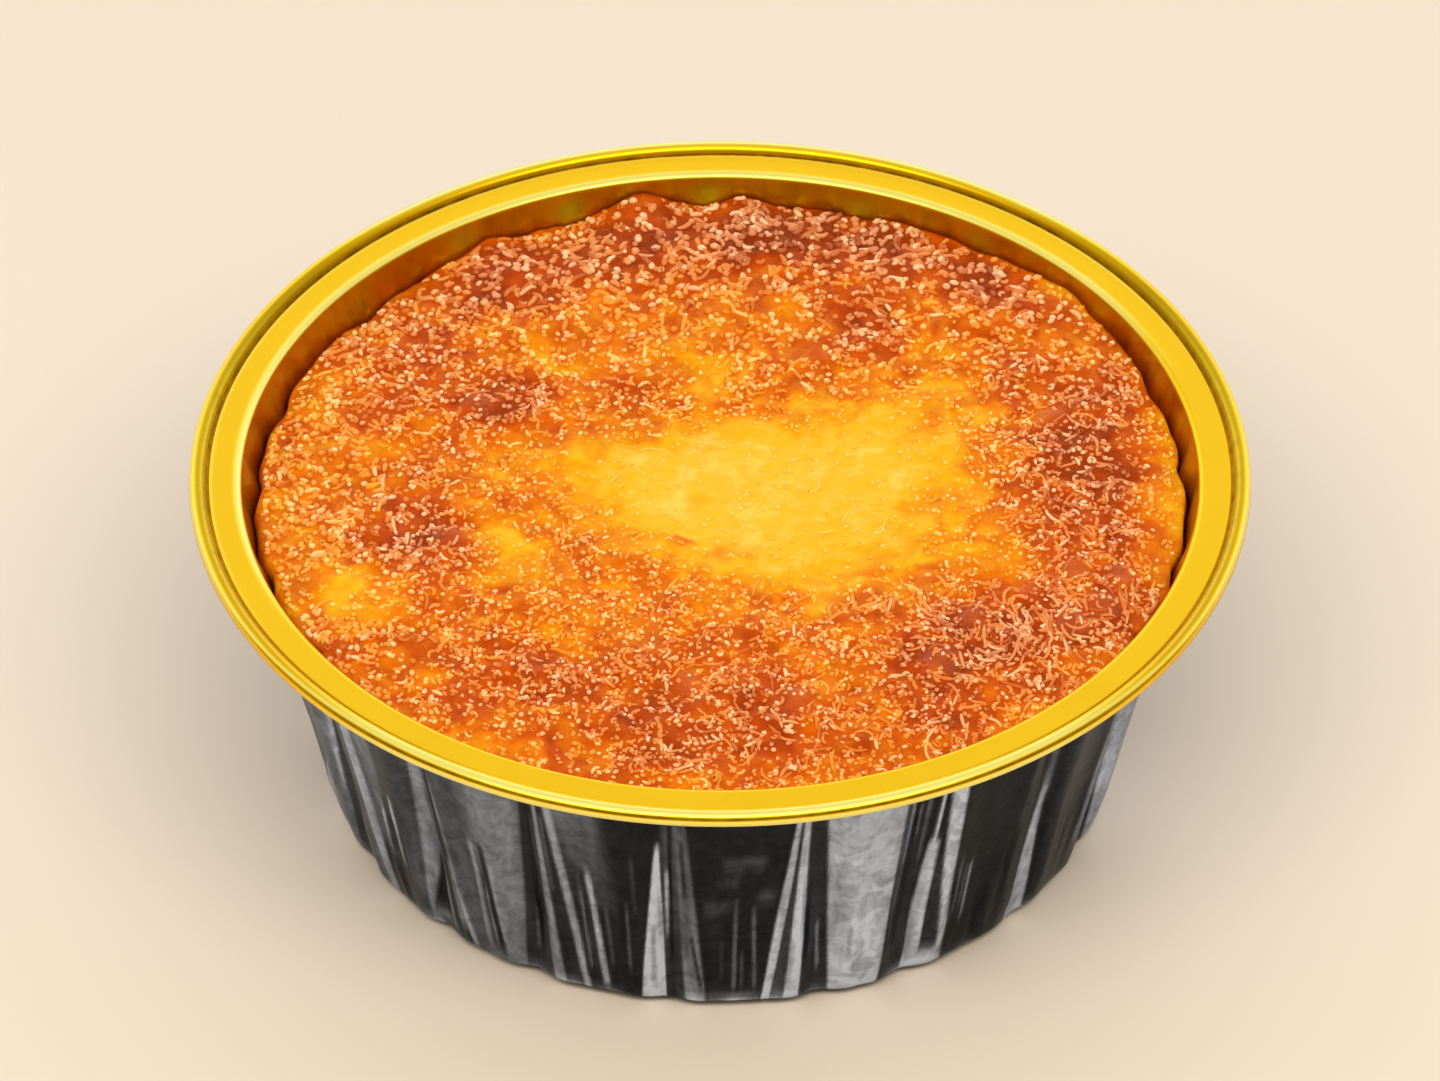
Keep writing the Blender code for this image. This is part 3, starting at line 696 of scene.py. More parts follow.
def back_facets():
    """Facets of the sides and back by a seeded rule.

    Between each two pleats lies a plain panel, and round each pleat lie the narrow folds of one of the front's
    pleats, some of them mirrored.
    """
    draw = np.random.default_rng(BACK_FACET_SEED)
    behind = sorted((row[0], row[3]) for row in pleats() if row[0] > BACK_FROM)
    ends = [(BACK_PANEL_ENDS[0], 0.0), *behind, (BACK_PANEL_ENDS[1], 0.0)]
    rows = []
    for (left, left_lean), (right, right_lean) in zip(ends, ends[1:]):
        brightness = draw.choice(BACK_PANEL_BRIGHTNESS, 2, replace=False)
        edges = np.add((left, right, left + left_lean, right + right_lean), BACK_PANEL_INSETS)
        rows.append((*edges, *BACK_PANEL_DEPTHS, *brightness, BACK_PANEL_SOFTNESS))
    for angle, lean in behind:
        source = FRONT_PLEATS[draw.integers(*COPIED_PLEATS)]
        side = draw.choice([-1.0, 1.0])
        turn = lean - side * source[3]
        for left, right, left_low, right_low, *rest in FRONT_FACETS:
            if abs(0.5 * (left + right) - source[0]) < COPIED_REACH and right - left < FOLD_WIDTH:
                top = sorted(angle + side * (edge - source[0]) for edge in (left, right))
                low = sorted(angle + side * (edge - source[0]) + turn for edge in (left_low, right_low))
                rows.append((*top, *low, *rest))
    return rows


def wrinkles():
    """Fine wrinkles of the lower wall, seeded: angle, lean, middle depth, reach, half width and height."""
    draw = np.random.default_rng(WRINKLE_SEED)
    count = WRINKLE_COUNT
    middle = draw.uniform(*WRINKLE_MIDDLES, count)
    reach = draw.uniform(*WRINKLE_REACHES, count)
    angle = draw.uniform(-180.0, 180.0, count)
    lean = draw.normal(0.0, 1.0, count)
    width = draw.uniform(*WRINKLE_WIDTHS, count)
    height = draw.choice([-1.0, 1.0], count) * draw.uniform(*WRINKLE_HEIGHTS, count) * MM
    return np.stack([angle, lean, middle, reach, width, height], axis=1)


def foot_brightness(bright, from_front, height):
    """Adds a painted highlight round the foot, a broken line that is a bell curve of the height, and a painted
    contact shadow under it.
    """
    waves = [np.radians(from_front) * count for count in FOOT_LINE_WAVES]
    ragged = 0.5 + 0.5 * np.sin(waves[0]) * np.sin(waves[1] + 1.0)
    line = FOOT_LINE * ragged * bell(height - FOOT_LINE_HEIGHT, FOOT_LINE_REACH)
    # Painted contact shadow: the wall darkens towards its very bottom
    return (bright + line) * blend_step(*PAINTED_SHADOW_HEIGHTS, height)


def wall_folds(turn, height):
    """(how far folds stand out, painted reflection) of the wall at arrays of turns and heights.

    A facet covers the wall between its left and right edges, which go in straight lines from its top to its
    bottom, with soft sides and ends. A narrow facet is also a fold: a tent across its width, raised where it
    is brighter than the middle brightness and pressed in where it is darker. Wrinkles are small tents whose
    height follows a bell down the wall, painted lighter where raised and darker where sunk. The painted
    reflection is the facet's brightness as a share of the floor's glow: the light the foil mirrors, painted
    into its colour.
    """
    from_front = degrees_apart(np.degrees(turn) + 90.0, 0.0)
    depth = (BEND_START - height) / MM
    out = np.zeros(np.broadcast(turn, height).shape)
    bright = np.full_like(out, PLAIN_BRIGHTNESS)
    for facet in (*FRONT_FACETS, *back_facets()):
        left_top, right_top, left_low, right_low, top, low, bright_top, bright_low, soft = facet
        run = np.clip((depth - top) / (low - top), 0.0, 1.0)
        left = left_top + (left_low - left_top) * run
        right = right_top + (right_low - right_top) * run
        half = 0.5 * (right - left)
        away = np.abs(degrees_apart(from_front, 0.5 * (left + right)))
        ends = blend_step(top - FACET_FADE, top + FACET_FADE, depth)
        ends = ends * (1.0 - blend_step(low - FACET_FADE, low + FACET_FADE, depth))
        level = bright_top + (bright_low - bright_top) * run
        bright = bright + (level - bright) * ((1.0 - blend_step(-soft, soft, away - half)) * ends)
        if right_top - left_top < FOLD_WIDTH:
            tent = np.clip(1.0 - away / (half + soft), 0.0, 1.0) * ends
            out += FOLD_HEIGHT * (level - LEVEL_BRIGHTNESS) / 100.0 * tent * np.minimum(half + soft, 1.0)
    out = np.clip(out, *FOLD_REACH)
    for angle, lean, middle, reach, width, rise in wrinkles():
        away = np.abs(degrees_apart(from_front, angle + lean * (depth - middle) / 20.0)) / width
        along = bell(depth - middle, reach)
        out += rise * np.clip(1.0 - 0.6 * away, 0.0, 1.0) * along
        # Painted light: a raised wrinkle lighter, a sunk one darker
        bright = bright * (1.0 + 1.4 * (rise / MM) * bell(away, 1.0) * along)
    bright = foot_brightness(bright, from_front, height)
    # Painted reflection: the brightness as a linear share of the floor's glow
    tone = (bright / 255.0 + 0.055) ** 2.4 / 1.055**2.4 / FLOOR_GLOW
    return out * np.clip((BEND_START - height) / FOLD_RUN_OUT, 0.0, 1.0), tone


def inside_section(bend, wall_slope, flange_end, groove_x):
    """(points, painted light) of the cup's section from the floor's centre up the inside and round the bead."""
    bead = (RIM_RADIUS - BEAD_RADIUS, FLANGE_TOP - BEAD_DROP)
    floor_edge = FOIL + FLOOR_EDGE
    dip = straight((flange_end, FLANGE_TOP), (groove_x - 0.04 * MM, FLANGE_TOP), 5)[1:]
    dip[:, 1] -= GROOVE_DEPTH * np.sin(np.linspace(0.25, 1.0, 4) * 0.5 * math.pi)
    flange_steps = [bend[0] + 0.06 * MM, bend[0] + 0.5 * MM]
    flange_steps += [flange_end - 0.5 * MM, flange_end - 0.06 * MM, flange_end]
    degrees, bead_shades = np.array(BEAD_SHADES[::-1]).T
    round_bead = BEAD_RADIUS * np.stack([np.cos(np.radians(degrees)), np.sin(np.radians(degrees))], axis=1)
    parts = [
        (straight((0.0, FOIL), (FLOOR_RADIUS - 2.0 * FOIL, FOIL), 2), FLOOR_SHADE),
        (straight((FLOOR_RADIUS, FOIL + 0.2 * FLOOR_EDGE), wall_point(floor_edge), 2), FLOOR_SHADE),
        (straight(wall_point(LOWER_LEVEL), wall_point(UPPER_LEVEL), 3), WALL_SHADES[0]),
        (straight(wall_point(FINE_LEVEL), wall_point(BEND_START), 6), np.linspace(*WALL_SHADES, 6)),
        (arc(bend, BEND_SIZE, 180.0 - wall_slope, 90.0, 9)[1:], BEND_SHADES),
        (np.stack([flange_steps, np.full(5, FLANGE_TOP)], axis=1), FLANGE_SHADES),
        (dip, GROOVE_SHADES),
        (np.array(bead) + round_bead, bead_shades),
    ]
    points = np.concatenate([part for part, _ in parts])
    return points, np.concatenate([np.broadcast_to(shade, len(part)) for part, shade in parts])


def cup_section():
    """(points, shades, index of the first outside point) of the cup's section, as rows of radius and height.

    It runs from the floor's centre up the inside, round the bend, along the flange, through the groove, round
    the bead and back down the outside to the base's centre.
    """
    lean = math.atan2(MOUTH_RADIUS - FLOOR_RADIUS, FLANGE_TOP)
    wall = FOIL / math.cos(lean)
    slope = math.degrees(lean)
    bend = wall_point(BEND_START, BEND_SIZE * math.cos(lean))
    groove_x = RIM_RADIUS - 2.0 * BEAD_RADIUS
    flange_end = groove_x - GROOVE_WIDTH * 0.5
    inside, shades = inside_section(bend, slope, flange_end, groove_x)
    under_flange = FLANGE_TOP - FOIL
    wall_top = (inner_wall_radius(BEND_START) + wall, BEND_START - 0.5 * MM)
    outside = [
        [(groove_x + 0.1 * MM, FLANGE_TOP - GROOVE_DEPTH - FOIL * 0.8)],
        straight((flange_end, under_flange), (bend[0] + 0.2 * MM, under_flange), 2),
        arc(bend, BEND_SIZE - wall, 100.0, 180.0 - slope, 4)[1:],
        straight(wall_top, wall_point(FOOT_TOP, wall), OUTER_WALL_ROWS),
        straight(wall_point(FOOT_BEND, wall), FOOT_TIP, 4),
        straight((BASE_RADIUS, 0.0), (0.0, 0.0), 3),
    ]
    points = np.concatenate([inside, *outside])
    return points, np.pad(shades, (0, len(points) - len(inside))), len(inside)


def rim_shades(shades, turn, radius, height):
    """The section's painted highlights and shade as they change round the rim, with how the light falls.

    On the bead s(a) + w (S(a) - s(a)): s are the shades by angle a, S those of SIDE_BEAD_SHADES, and w rises
    from 0 at the front and back to 1 at the sides. On the bend and flange what is brighter than FLANGE_SHADE
    fades to it over the front and right.
    """
    side = blend_step(*SIDE_RANGE, np.abs(np.cos(turn)))
    shine = blend_step(*SHINE_RANGE, np.abs(degrees_apart(np.degrees(turn) + 90.0, DULL_MIDDLE)))
    bead_x = RIM_RADIUS - BEAD_RADIUS
    angle = np.degrees(np.arctan2(height - (FLANGE_TOP - BEAD_DROP), radius - bead_x))
    angle = (angle + 150.0) % 360.0 - 150.0
    on_bead = radius > bead_x - BEAD_RADIUS - 0.02 * MM
    at_sides = np.interp(angle, *zip(*SIDE_BEAD_SHADES))
    dimmed = np.where(shades > FLANGE_SHADE, FLANGE_SHADE + (shades - FLANGE_SHADE) * shine, shades)
    return np.where(on_bead, shades + side * (at_sides - shades), dimmed)


def column_turns(front, back):
    """Turns of the columns round the axis: closer together over the front half than over the back."""
    first = np.linspace(-math.pi, 0.0, front, endpoint=False)
    second = np.linspace(0.0, math.pi, back, endpoint=False)
    return np.concatenate([first, second])[None, :]


def build_cup(settings):
    """The foil cup: its section carried round the axis, with pleats, folds and wrinkles in the wall.

    A point at turn t and section point (r, z) lies at ((r + p + f) cos t, (r + p + f) sin t, z), where p is the
    pleats' offset and f that of the folds, both only on the wall. The part of the inner wall behind the cake
    has no folds and stands back a little.
    """
    section, shades, first_outside = cup_section()
    turn = column_turns(settings.front_columns, settings.back_columns)
    columns = turn.size
    rows = len(section)
    radius = np.repeat(section[:, :1], columns, axis=1)
    height = np.repeat(section[:, 1:], columns, axis=1)
    on_wall = blend_step(FLOOR_RADIUS * 0.75, FLOOR_RADIUS, radius) * (height < BEND_START)
    folds, tone = wall_folds(turn, height)
    folds = folds * (0.5 + 0.5 * blend_step(0.0, FOOT_CALM_HEIGHT, height))
    is_outside = np.arange(rows)[:, None] >= first_outside
    shown = np.where(is_outside, 1.0, blend_step(UPPER_LEVEL, UPPER_LEVEL + 2.0 * MM, height))
    hidden = HIDDEN_INSET * (1.0 - shown) * (height > 2.0 * MM)
    radius = radius + on_wall * (pleat_offset(turn, height) + folds * shown - hidden)
    points = np.stack([radius * np.cos(turn), radius * np.sin(turn), height], axis=2)
    faces = closed_grid_faces(rows, columns)[:, ::-1]
    # Painted light and shade of the gold, changing round the rim
    shade = rim_shades(np.repeat(shades[:, None], columns, axis=1), turn, radius, height)
    mesh = make_mesh("foil_cup_shell", points.reshape(-1, 3), faces, {"tone": tone, "shade": shade})
    face_row = np.repeat(np.arange(rows - 1), columns)
    mesh.polygons.foreach_set("material_index", (face_row >= first_outside - 1).astype(np.int32))
    return close_poles(mesh)


# Gold by painted light: painted shade below the flange's own gold at 0.80, painted highlight above it
GOLD_STOPS = display_stops(
    (0.00, 74, 52, 4),
    (0.25, 158, 120, 8),
    (0.45, 206, 170, 18),
    (0.62, 230, 176, 20),
    (0.80, 255, 200, 10),
    (0.90, 255, 216, 36),
    (1.00, 255, 238, 116),
)
DARK_FOIL_STOPS = ((0.0, (0.0, 0.0, 0.0, 1.0)), (1.0, (0.665, 0.78, 1.0, 1.0)))
DARK_FOIL_EDGE = (0.62, 0.62, 0.62, 1.0)


def gold_foil():
    """Gold lacquer on smooth foil: satin, faintly streaked down the wall, its painted highlights and shade from
    the mesh.
    """
    material, start, shader = start_material("gold_foil")
    place = object_place(start)
    mottle = noise(start, place, size=7.0 * MM, detail=3.0, roughness=0.6)
    streaks = noise(start, squashed(start, place, 0.15), size=1.6 * MM, detail=3.0)
    shade = attribute(start, "shade")
    varied = shade + 0.05 * (mottle - 0.5) + 0.5 * (streaks - 0.5) * (1.0 - shade.between(0.35, 0.6))
    plug(
        shader,
        Base_Color=varied.ramp(GOLD_STOPS),
        # Less metallic where the painted highlight is brightest, so that it shows bright from every side
        Metallic=1.0 - 0.6 * shade.between(0.75, 1.0),
        Roughness=0.26 + 0.12 * mottle,
        Normal=bump(start, mottle, strength=0.05, distance=0.2 * MM),
    )
    return material


def dark_foil():
    """Dark grey lacquer on wrinkled foil: each fold's painted reflection comes from the mesh, streaked and
    crinkled.
    """
    material, start, shader = start_material("dark_foil")
    place = object_place(start)
    streaks = noise(start, squashed(start, place, 0.1), size=0.9 * MM, detail=3.0, roughness=0.6)
    crinkle = noise(start, place, size=3.2 * MM, detail=5.0, roughness=0.6, distortion=1.6)
    fine = noise(start, place, size=0.8 * MM, detail=3.0)
    # Painted reflection of each fold, broken up by streaks and crinkles
    varied = attribute(start, "tone") * (0.36 + 0.70 * streaks + 0.50 * crinkle.between(0.3, 0.7))
    height = crinkle + 0.1 * fine + 0.3 * streaks
    plug(
        shader,
        Base_Color=varied.ramp(DARK_FOIL_STOPS),
        Metallic=1.0,
        Specular_Tint=DARK_FOIL_EDGE,
        Roughness=0.22 + 0.16 * crinkle,
        Normal=bump(start, height, strength=0.2, distance=0.5 * MM),
    )
    return material


# --- the cake -----------------------------------------------------------------------------------------


def crust_relief(x, y):
    """Lumps and hollows of the crust: two lattices of noise and round lumps, calmer in the pale middle."""
    relief = np.zeros_like(x)
    for number, (cell, height) in enumerate(ROUGH_CELLS):
        relief += height * smooth_noise(x, y, cell, CRUST_SEED + number)
    draw = np.random.default_rng(CRUST_SEED)
    for _ in range(LUMP_COUNT):
        distance = math.sqrt(draw.uniform(*LUMP_SPREAD)) * MOUTH_RADIUS
        turn = draw.uniform(0.0, 2.0 * math.pi)
        width = draw.uniform(*LUMP_RADII)
        height = draw.uniform(*LUMP_HEIGHTS)
        relief += height * bell(np.hypot(x - distance * math.cos(turn), y - distance * math.sin(turn)), width)
    return relief * (1.0 - SMOOTH_SHARE * bell(np.hypot(x, y), SMOOTH_CENTRE))


def blister_relief(x, y):
    """Round blisters with steep sides: bell curves of the distance to the fourth power."""
    relief = np.zeros_like(x)
    for centre_x, centre_y, radius, height in BLISTERS:
        relief += height * MM * bell((x / MM - centre_x) ** 2 + (y / MM - centre_y) ** 2, radius**2)
    return relief


def blister_share(x, y):
    """1 on top of a blister and 0 away from them."""
    return np.clip(blister_relief(x, y) / BLISTER_TOP, 0.0, 1.0)


def edge_depth(turn):
    """Depth of the cake's edge below the flange: a mean with waves round, small crags and a few tall ones."""
    depth = np.full_like(turn, EDGE_DEPTH)
    for waves, cosine, sine in EDGE_DEPTH_WAVES:
        depth += cosine * np.cos(waves * turn) + sine * np.sin(waves * turn)
    x = MOUTH_RADIUS * np.cos(turn)
    y = MOUTH_RADIUS * np.sin(turn)
    depth += EDGE_CRAG * smooth_noise(x, y, EDGE_CRAG_CELL, EDGE_CRAG_SEED)
    for angle, width, height in CLIMBING_CRAGS:
        depth -= height * bell(np.degrees(turn) % 360.0 - angle, width)
    return depth


def cake_edge_radius(turn, height):
    """The cake's side: a thin gap inside the pleated wall, wider at the top where the cake has shrunk away."""
    shrunk = np.zeros_like(turn)
    for angle, width in SHRUNK_GAPS:
        shrunk += width * np.clip(np.cos(turn - math.radians(angle)), 0.0, 1.0) ** SHRUNK_POWER
    gap = SIDE_GAP + np.clip((height - SHRUNK_FROM) / (SHRUNK_TO - SHRUNK_FROM), 0.0, 1.0) * shrunk
    return inner_wall_radius(height) + pleat_offset(turn, height) - gap


def crust_rim(x, y):
    """Radius of the crust's edge in the direction of a place."""
    turn = np.arctan2(y, x)
    return cake_edge_radius(turn, FLANGE_TOP - edge_depth(turn))


def browning(x, y):
    """How browned the crust is, from 0 (pale yellow) to 1 (dark red brown), at places in metres.

    It is a middle value plus a soft round or oval patch for each row of the table. Noise bends the patches'
    outlines and breaks up their colour, least where the crust is pale.
    """
    value = np.full(np.shape(x), MIDDLE_BROWNING)
    x = x + layered_noise(x, y, BEND_X_LAYERS)
    y = y + layered_noise(x, y, BEND_Y_LAYERS)
    for centre_x, centre_y, radius_x, radius_y, turn, change in BAKED_PATCHES:
        cosine = math.cos(math.radians(turn))
        sine = math.sin(math.radians(turn))
        across = (cosine * (x / MM - centre_x) + sine * (y / MM - centre_y)) / radius_x
        along = (cosine * (y / MM - centre_y) - sine * (x / MM - centre_x)) / radius_y
        value = value + change * np.exp(-((across**2 + along**2) ** PATCH_POWER))
    patchy = layered_noise(x, y, PATCHY_LAYERS)
    return np.clip(value + patchy * np.clip(2.2 * value, 0.25, 1.0), 0.0, 1.0)


def grainy_relief(x, y):
    """Fine relief of the semolina: three small lattices of noise, stronger where the crust is browned."""
    return layered_noise(x, y, GRAINY_LAYERS) * (0.35 + 0.8 * browning(x, y))


def crust_height(x, y):
    """Height of the crust at a place: the dome, its sunk middle, the relief and the grain."""
    radius = np.hypot(x, y)
    edge = edge_depth(np.arctan2(y, x))
    ramp = np.clip((radius / crust_rim(x, y) - DOME_SHOULDER) / (1.0 - DOME_SHOULDER), 0.0, 1.0)
    depth = DOME_DEPTH + (edge - DOME_DEPTH) * ramp**3
    depth += CENTRE_SINK * bell(radius, CENTRE_SINK_RADIUS)
    height = FLANGE_TOP - depth + crust_relief(x, y) * (1.0 - ramp**6)
    return height + blister_relief(x, y) + grainy_relief(x, y) * (1.0 - 0.5 * ramp**8)


def disc_coordinates(u, v):
    """A square grid from -1 to 1 bent to a disc: rings of the square become circles, evenly divided."""
    ring = np.maximum(np.abs(u), np.abs(v))
    safe = np.where(ring > 0.0, ring, 1.0)
    turn_side = (math.pi / 4.0) * v / safe * np.sign(u) + np.where(u < 0.0, math.pi, 0.0)
    turn_end = (math.pi / 2.0) * np.sign(v) - (math.pi / 4.0) * u / safe * np.sign(v)
    return ring, np.where(np.abs(u) >= np.abs(v), turn_side, turn_end)


def side_rings(turn, rim_height):
    """Rings of points from the crust's edge down the cake's side and in along its base to the axis.

    A ring stays a little below the crust's edge where that dips under the ring's own height.
    """
    rings = []
    for height in CAKE_LEVELS:
        level = np.minimum(height, rim_height - BELOW_CRUST)
        rings.append((cake_edge_radius(turn, level), level))
    floor = np.full_like(turn, FOIL + FLOOR_GAP)
    rings.append((cake_edge_radius(turn, floor) - FLOOR_EDGE, floor))
    rings.append((AXIS_RADIUS, floor))
    return [np.stack([radius * np.cos(turn), radius * np.sin(turn), level], axis=1) for radius, level in rings]


def build_crust(settings):
    """The cake: a square grid bent to a disc and raised by the crust's height, closed by rings to its base."""
    line = np.linspace(-1.0, 1.0, settings.cells + 1)
    u, v = np.meshgrid(line, line)
    share, turn = disc_coordinates(u.ravel(), v.ravel())
    radius = share * cake_edge_radius(turn, FLANGE_TOP - edge_depth(turn))
    x = radius * np.cos(turn)
    y = radius * np.sin(turn)
    top = np.stack([x, y, crust_height(x, y)], axis=1)
    index = np.arange(u.size).reshape(u.shape)
    corners = [index[:-1, :-1], index[:-1, 1:], index[1:, 1:], index[1:, :-1]]
    faces = [np.stack(corners, axis=2).reshape(-1, 4)]
    border = np.concatenate([index[0, :-1], index[:-1, -1], index[-1, :0:-1], index[:0:-1, 0]])
    rings = side_rings(turn[border], top[border, 2])
    previous = border
    for number in range(len(rings)):
        current = len(top) + number * len(border) + np.arange(len(border))
        faces.append(np.stack([previous, current, np.roll(current, -1), np.roll(previous, -1)], axis=1))
        previous = current
    below = np.zeros(len(rings) * len(border))
    # Painted shade in the crust's hollows, by how deep the grain's relief sinks
    hollow = np.clip(-grainy_relief(x, y) / HOLLOW_DEPTH, 0.0, 1.0)
    values = {
        "bake": np.concatenate([browning(x, y), below + SIDE_BROWNING]),
        "hollow": np.concatenate([hollow, below]),
        "blister": np.concatenate([blister_share(x, y), below]),
    }
    return close_poles(make_mesh("cake_crust", np.concatenate([top, *rings]), np.concatenate(faces), values))


CRUST_STOPS = display_stops(
    (0.00, 252, 194, 40),
    (0.18, 252, 184, 10),
    (0.40, 243, 132, 0),
    (0.60, 217, 92, 0),
    (0.80, 190, 68, 0),
    (1.00, 148, 52, 0),
)
# Colours of grains and strands, lighter than the crust: partly their own paler colour, partly painted highlight
GRAIN_STOPS = display_stops(
    (0.00, 255, 218, 84),
    (0.22, 255, 200, 54),
    (0.45, 252, 172, 52),
    (0.70, 246, 152, 66),
    (1.00, 238, 150, 96),
)
PALE_CLOUDS = display_colour(255, 222, 104)
BLISTER_SHEEN = display_colour(246, 150, 100)
PALE_GRAINS_AND_GLINTS = (display_colour(255, 224, 120), display_colour(255, 216, 160))


def baked_crust():
    """Syrup-glossed crust: yellow to red brown by how baked it is, with painted shade in its hollows, darker
    and redder there.

    Over it lie thin paler strands where it is browned, partly the semolina's own colour and partly painted
    glints, pale clouds where it isn't, and a painted sheen on the blisters' tops.
    """
    material, start, shader = start_material("baked_crust")
    place = object_place(start)
    patchy = noise(start, place, size=1.5 * MM, detail=3.0, roughness=0.6)
    fine = noise(start, place, size=0.45 * MM)
    curls = noise(start, place, size=1.15 * MM, detail=1.0, distortion=1.3)
    gaps = noise(start, place, size=3.1 * MM)
    clouds = noise(start, place, size=3.4 * MM, detail=4.0, roughness=0.65, distortion=0.6)
    bake = attribute(start, "bake")
    blister = attribute(start, "blister")
    # Pale strands, partly the semolina's own colour and partly painted glints
    strands_and_glints = 1.0 - (curls - 0.5).size().between(0.0, 0.055)
    strands_and_glints = strands_and_glints * bake.between(0.1, 0.5) * gaps.between(0.42, 0.62)
    baked = bake + 0.36 * (patchy - 0.5)
    # Painted shade: the hollows take the colour of a more baked crust
    hollow = attribute(start, "hollow") * 0.6
    colour = hollow.mixed(baked.ramp(CRUST_STOPS), (baked + 0.2).ramp(CRUST_STOPS))
    colour = (strands_and_glints * 0.34).mixed(colour, bake.ramp(GRAIN_STOPS))
    pale = clouds.between(0.45, 0.75) * (1.0 - bake.between(0.05, 0.3))
    colour = (pale * 0.6).mixed(colour, PALE_CLOUDS)
    colour = (blister * 0.1).mixed(colour, BLISTER_SHEEN)
    plug(
        shader,
        Base_Color=colour,
        Roughness=0.32 + 0.25 * patchy,
        Specular_IOR_Level=0.06,
        Coat_Weight=0.12 * blister,
        Coat_Roughness=0.15,
        Normal=bump(start, 0.5 * fine + patchy + strands_and_glints, strength=0.6, distance=0.3 * MM),
    )
    return material


def glazed_grain():
    """Grains and shreds in syrup: the lighter colours of their place in the crust, partly their own and partly
    painted glints, each a little different.
    """
    material, start, shader = start_material("glazed_grain")
    fine = noise(start, object_place(start), size=0.4 * MM)
    baked = attribute(start, "bake")
    tint = attribute(start, "tint")
    ground = (baked - 0.08).ramp(CRUST_STOPS)
    colour = tint.between(-0.15, 0.45).mixed(ground, baked.ramp(GRAIN_STOPS))
    # The palest grains turn cream: painted glints
    colour = tint.between(0.5, 1.0).mixed(colour, baked.between(0.3, 0.75).mixed(*PALE_GRAINS_AND_GLINTS))
    plug(
        shader,
        Base_Color=colour,
        Roughness=0.3 + 0.2 * fine,
        Specular_IOR_Level=0.22,
        Normal=bump(start, fine, strength=0.3, distance=0.1 * MM),
    )
    return material


# --- what lies on the crust ---------------------------------------------------------------------------


def scatter(draw, count, density, margin):
    """Seeded places on the crust, kept where a draw falls under the density at that place."""
    places = np.empty((2, 0))
    while places.shape[1] < count:
        x, y = draw.uniform(-MOUTH_RADIUS, MOUTH_RADIUS, (2, 4 * count))
        inside = np.hypot(x, y) < crust_rim(x, y) - margin
        kept = inside & (draw.uniform(0.0, 1.0, 4 * count) < density(x, y))
        places = np.concatenate([places, [x[kept], y[kept]]], axis=1)
    return places[:, :count]


def fit_inside(x, y, margin):
    """Factor that pulls a place in towards the axis where it would come closer to the wall than the margin."""
    return np.minimum(1.0, (crust_rim(x, y) - margin) / np.maximum(np.hypot(x, y), MM))


def towards_back(y):
    """0 over the front half of the crust, rising to 1 at its back edge."""
    return blend_step(8.0 * MM, 38.0 * MM, y)


def shred_density(x, y):
    """Long shreds lie mostly where the crust is well browned, and most of all at the right of the front."""
    clumps = 0.5 + 0.5 * smooth_noise(x, y, 5.0 * MM, 81)
    side = bell(x - 34.0 * MM, 22.0 * MM) * bell(y + 24.0 * MM, 18.0 * MM)
    brown = blend_step(0.3, 0.8, browning(x, y))
    share = np.clip(0.02 + (0.12 + 0.88 * side) * brown, 0.0, 1.0) * (0.2 + 0.8 * clumps)
    return share * (1.0 - 0.9 * blister_share(x, y))


def kernel_density(x, y):
    """Short kernels lie over all of the crust in clumps, and thinly in the pale middle."""
    clumps = blend_step(0.25, 0.75, 0.5 + 0.5 * smooth_noise(x, y, 2.8 * MM, 83))
    share = (0.02 + 0.9 * blend_step(0.15, 0.7, browning(x, y))) * (0.22 + 0.78 * clumps)
    return share * (1.0 - 0.4 * towards_back(y)) * (1.0 - 0.5 * blister_share(x, y))


def grain_density(x, y):
    """Round grains lie over all of the crust, and more thinly in the pale middle."""
    clumps = 0.5 + 0.5 * smooth_noise(x, y, 2.4 * MM, 82)
    share = (0.22 + 0.65 * blend_step(0.06, 0.6, browning(x, y))) * (0.3 + 0.7 * clumps)
    return share * (1.0 - 0.5 * towards_back(y)) * (1.0 - 0.5 * blister_share(x, y))


def local_size(x, y):
    """Size factor of what lies on the crust: larger towards the back and left, small in the pale middle."""
    left = blend_step(26.0 * MM, 46.0 * MM, -x)
    brown = blend_step(0.1, 0.45, browning(x, y))
    return (1.0 + 0.5 * np.maximum(towards_back(y), 0.7 * left)) * (0.75 + 0.25 * brown)


def contour_heading(x, y):
    """Heading along the crust's contour lines: a quarter turn from its slope, measured over a short step."""
    steps = ((HEADING_STEP, 0.0), (-HEADING_STEP, 0.0), (0.0, HEADING_STEP), (0.0, -HEADING_STEP))
    places = [(x + across, y + along) for across, along in steps]
    right, left, behind, before = (crust_relief(*place) + blister_relief(*place) for place in places)
    return np.arctan2(right - left, before - behind)


def middle_lines(x, y, length, bend, spread, knots, draw):
    """(x, y, heading) along the middle lines of tubes on the crust, a row for each tube.

    A line starts at its place and steps along the contour heading, turned by a normal draw of the given
    spread, by half a turn for half of the lines, and by the tube's own bend. The wider the spread, the less
    it follows the contour.
    """
    count = len(x)
    turned = draw.normal(0.0, 1.0, count) * spread + math.pi * draw.integers(0, 2, count)
    step = length / (knots - 1)
    first_heading = contour_heading(x, y)
    rows = []
    for share in np.linspace(-0.5, 0.5, knots):
        drift = degrees_apart(np.degrees(contour_heading(x, y) - first_heading), 0.0)
        heading = first_heading + np.radians(drift) * np.exp(-spread) + turned + bend * share
        rows.append((x, y, heading))
        x = x + step * np.cos(heading)
        y = y + step * np.sin(heading)
    return np.array(rows).transpose(1, 2, 0)


